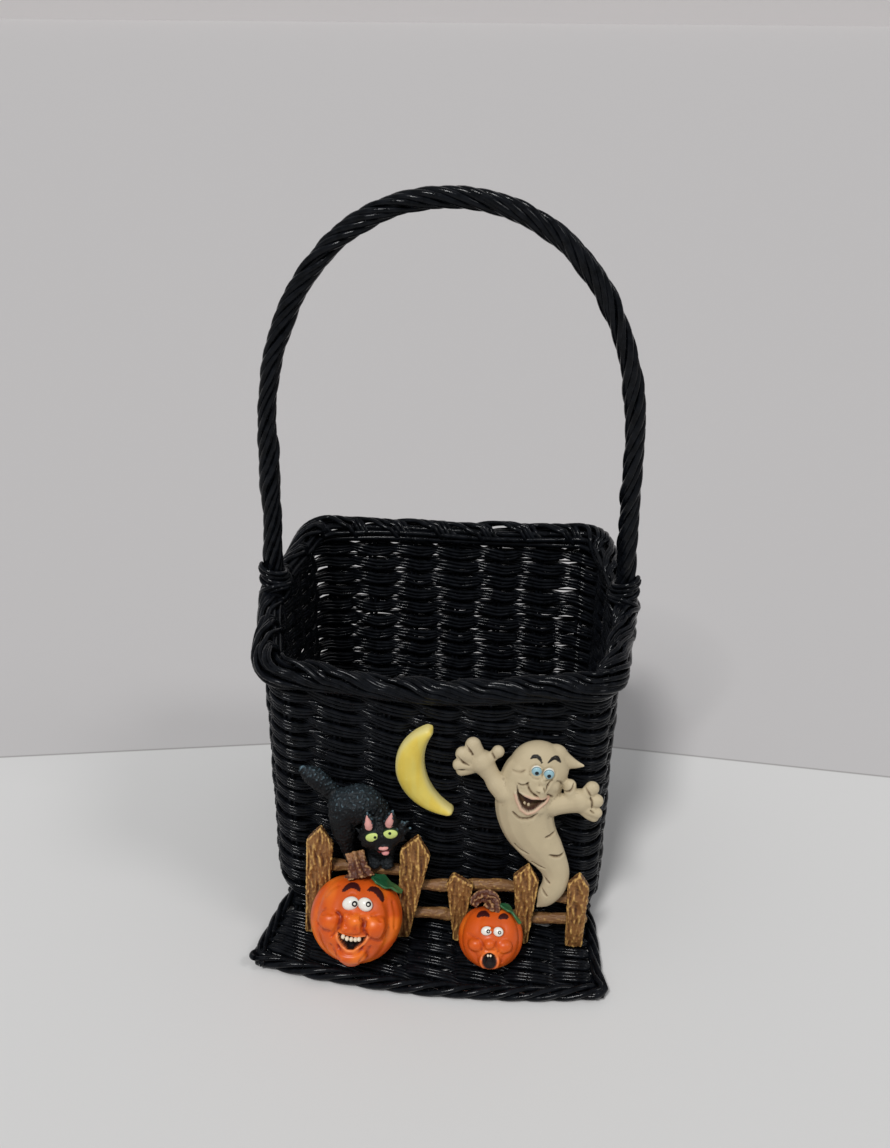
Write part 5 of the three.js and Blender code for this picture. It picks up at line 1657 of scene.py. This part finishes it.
ghost_mouth = [
    (47.4, 125.6), (48.6, 121.2), (51.8, 118.9), (56.5, 117), (60.7, 116.9), (64.8, 117.2),
    (63.4, 114.8), (60.9, 112.8), (57.3, 110.4), (54, 109.2), (50.9, 111.4), (48.7, 116), (47.6, 120.5),
]
ghost_brows = (
    [(54.6, 140.2), (57, 141.6), (59.6, 140.9), (61.2, 138.2)],
    [(64.4, 138.4), (66.8, 140.1), (69.7, 139.7), (72, 137)],
)
ghost_eyes = ((58.3, 133.4), (65.3, 132))
ghost_creases = (
    ([(47.3, 85.6), (49, 82.6), (51.6, 81), (56, 79.8)], 0.7, 1.2),
    ([(57.4, 73.8), (61.5, 71.1), (65.9, 70)], 0.7, 1.2),
    ([(67.8, 80.3), (72.6, 78.3), (77.6, 78.4)], 0.7, 1.2),
    ([(65, 91.3), (71.6, 92.4)], 0.6, 0.9),
    ([(64.6, 63.6), (67, 61.2), (69.4, 59.8)], 0.6, 1.0),
    ([(64.4, 55.4), (66.4, 52.8), (68.3, 51)], 0.6, 0.9),
    ([(16.8, 145), (19.6, 142.2), (22.2, 138.8)], 0.55, 1.0),
    ([(12.6, 138), (15.6, 134.8), (19.6, 132.7)], 0.5, 0.9),
    ([(13, 129.3), (17.6, 129.4)], 0.5, 0.8),
    ([(31.6, 141.2), (33.4, 139.2), (35, 136.4)], 0.5, 0.9),
    ([(86.6, 122), (88.6, 119.8), (90.4, 117)], 0.5, 0.9),
    ([(89.6, 116.8), (90.8, 114.2), (91.2, 109.6)], 0.5, 0.9),
    ([(90, 109), (92.6, 106.6)], 0.5, 0.8),
    ([(80.2, 124), (78.9, 120.4), (74.6, 118)], 0.55, 0.9),
    ([(47.6, 126.4), (50.4, 125.6), (52.8, 126.2), (54.2, 127.8)], 0.6, 0.9),
    ([(53.3, 127.2), (54.5, 123.5), (56.8, 120.8), (60.2, 118.4)], 0.6, 0.9),
    ([(45.2, 108.4), (49.4, 105), (55.4, 104.9), (60, 108.2)], 0.9, 0.9),
    ([(68, 128.2), (65.3, 125.9), (64.6, 122.6)], 0.55, 0.8),
    ([(64.8, 119.8), (67, 117.8), (68.8, 116)], 0.55, 0.8),
    ([(58.8, 122.6), (59.8, 121.6), (60.4, 122.6)], 0.5, 0.8),
    ([(62.6, 125.2), (63.6, 123.6), (64, 121.8)], 0.5, 0.8),
    ([(70, 127), (72.4, 125), (73.4, 122)], 0.5, 0.6),
    ([(44, 132), (48.5, 132), (52, 134)], 0.7, 0.5),
)


def ghost_casting():
    piece = ghost_body()
    places = points_of(piece)
    outward = directions_of(piece)
    flat = places[:, [0, 2]]
    front = np.clip(-outward[:, 1] * 2, 0, 1)
    amount = np.zeros(len(places))
    for line, width, depth in ghost_creases:
        amount -= 1.35 * depth * stroke(flat, line, width)
    for eye in ghost_eyes:
        gap = np.linalg.norm(flat - eye, axis=1)
        amount -= 0.6 * np.exp(-(((gap - 3.9) / 0.6) ** 2))
    deep = depth_inside(flat, ghost_mouth)
    amount += 0.7 * np.exp(-(((deep + 1) / 0.8) ** 2)) * (flat[:, 1] < 121)
    for line in ghost_brows:
        amount += 0.15 * stroke(flat, line, 1)
    places += outward * (amount * front)[:, None]
    places[:, 1] += 4.5 * np.clip(deep / 0.9, 0, 1) * front
    places[:, 1] = np.minimum(places[:, 1], wall_face)
    move_points(piece, places)
    measure_relief(piece, spread=5, strength=11)
    colors = plain_coat(piece, ghost_bone, shine=0.25)
    # Brown along the creases: partly a wash, partly painted shade that deepens the shallow folds
    for line, width, depth in ghost_creases:
        blend(colors, stroke(flat, line, width * 1.1) * front * 0.6 * depth, crease_wash_and_shade)
    lip = np.exp(-(((deep + 0.9) / 0.8) ** 2)) * (flat[:, 1] < 120)
    blend(colors, lip * front * 0.75, lip_pink)
    blend(colors, np.clip(deep / 0.35 + 0.4, 0, 1) * front, throat_dark)
    for line in ghost_brows:
        blend(colors, (stroke(flat, line, 1.1) > 0.5) * front, brow_black)
    paint_on(piece, colors)
    return piece


def ghost_eye(place):
    x, z = place
    rings = [(22, ghost_pupil), (62, iris_blue), (70, iris_rim), (180, eyeball_pale)]
    return eyeball((x, ghost_middle(z) - 9.6, z), (3.3, 3, 3.5), (0.05, -1, 0.02), rings)


def ghost_teeth(teeth, out, half_width):
    """Teeth from a table of x, z and half height."""
    balls = []
    for x, z, half_height in teeth:
        place = (x, ghost_middle(z) - out, z)
        balls.append(painted_ball(place, (half_width, 0.9, half_height), ghost_tooth, 0.6))
    return balls


upper_teeth = [
    (50.4, 118.8, 1.1), (52.6, 117.6, 1.2), (54.9, 116.6, 1.3), (57.2, 115.8, 1.2), (59.4, 115.2, 1.1),
]
lower_teeth = [(52.2, 111.6, 1.3), (54.6, 110.8, 1.3)]
piece = ghost_casting()
features = [ghost_eye(place) for place in ghost_eyes]
features += ghost_teeth(upper_teeth, out=7.4, half_width=1.05)
features += ghost_teeth(lower_teeth, out=7.2, half_width=0.9)
piece = join_features(piece, features)
# While soft it was pressed back against the rails, which also lowered its tail
places = points_of(piece)
back = tail_press * (ghost_top - places[:, 2]) / (ghost_top - ghost_tip)
move_points(piece, places + np.stack([0 * back, back, -ghost_drop - 0.6 * back], axis=1))
finish_casting(piece, ghost_paint, "ghost_paint", "ghost")

# The moon. It is a thick crescent with a rounded front, cast in resin like the other figures, painted
# yellow with paler edges, and glued to the wall.

moon_outer = {"x": 8, "z": 122.6, "radius": 31.6, "start": 111, "end": 273}
moon_inner = {"x": 33.8, "z": 127.6, "radius": 41.0, "start": 149, "end": 236}
moon_back, moon_thickness = -91.9, 7
moon_yellow, moon_wash, moon_light = (0.72, 0.54, 0.085), (0.42, 0.25, 0.03), (0.84, 0.76, 0.34)
moon_streak, moon_edge = (0.72, 0.6, 0.14), (0.74, 0.66, 0.3)
moon_paint = casting_paint(
    "moon_yellow_paint", moon_wash, moon_light, (0.7, 0.45), speckle=500, bumps=0.08, specular=0.35
)


def on_arc(arc, share):
    angle = math.radians(arc["start"] + (arc["end"] - arc["start"]) * share)
    return np.array((arc["x"], arc["z"])) + arc["radius"] * np.array((math.cos(angle), math.sin(angle)))


def past_arc(places, arc):
    """How far outside an arc's circle each place is."""
    return np.hypot(places[:, 0] - arc["x"], places[:, 1] - arc["z"]) - arc["radius"]


def moon_casting():
    """Slices across the crescent, from tip to tip, each crowned at the front."""
    slices, count = 60, 18
    rings = []
    for i in range(slices + 1):
        share = i / slices
        outer, inner = on_arc(moon_outer, share), on_arc(moon_inner, share)
        end = min(min(share, 1 - share) / 0.035, 1)
        round_end = math.sqrt(1 - (1 - end) ** 2)
        middle, half = (outer + inner) / 2, (inner - outer) / 2 * max(round_end, 0.05)
        ring = []
        for j in range(count):
            angle = math.tau * j / count
            across = math.copysign(abs(math.cos(angle)) ** 0.8, math.cos(angle))
            crown = max(math.sin(angle), 0) ** 0.75
            x, z = middle + half * across
            ring.append((x, moon_back - moon_thickness * crown * (0.25 + 0.75 * round_end), z))
        rings.append(ring)
    piece = solid_of_rings("moon", rings)
    apply_modifier(piece, "SOLIDIFY", thickness=0.6 * mm, offset=1)
    piece = melted("crescent_moon", [piece], grain=0.5, softening=10)
    measure_relief(piece, spread=8, strength=5)
    places = points_of(piece)
    flat = places[:, [0, 2]]
    from_edge = np.minimum(-past_arc(flat, moon_outer), past_arc(flat, moon_inner))
    colors = plain_coat(piece, moon_yellow, shine=0.45)
    streaks = np.array([noise.noise(Vector((x * 0.35, 1.5, z * 0.07))) for x, z in flat])
    blend(colors, np.clip(0.25 + streaks * 1.1, 0, 0.6), moon_streak)
    blend(colors, np.exp(-((from_edge / 1.3) ** 2)) * 0.7, moon_edge)
    paint_on(piece, colors)
    return piece


finish_casting(moon_casting(), moon_paint, "moon_paint", "moon")
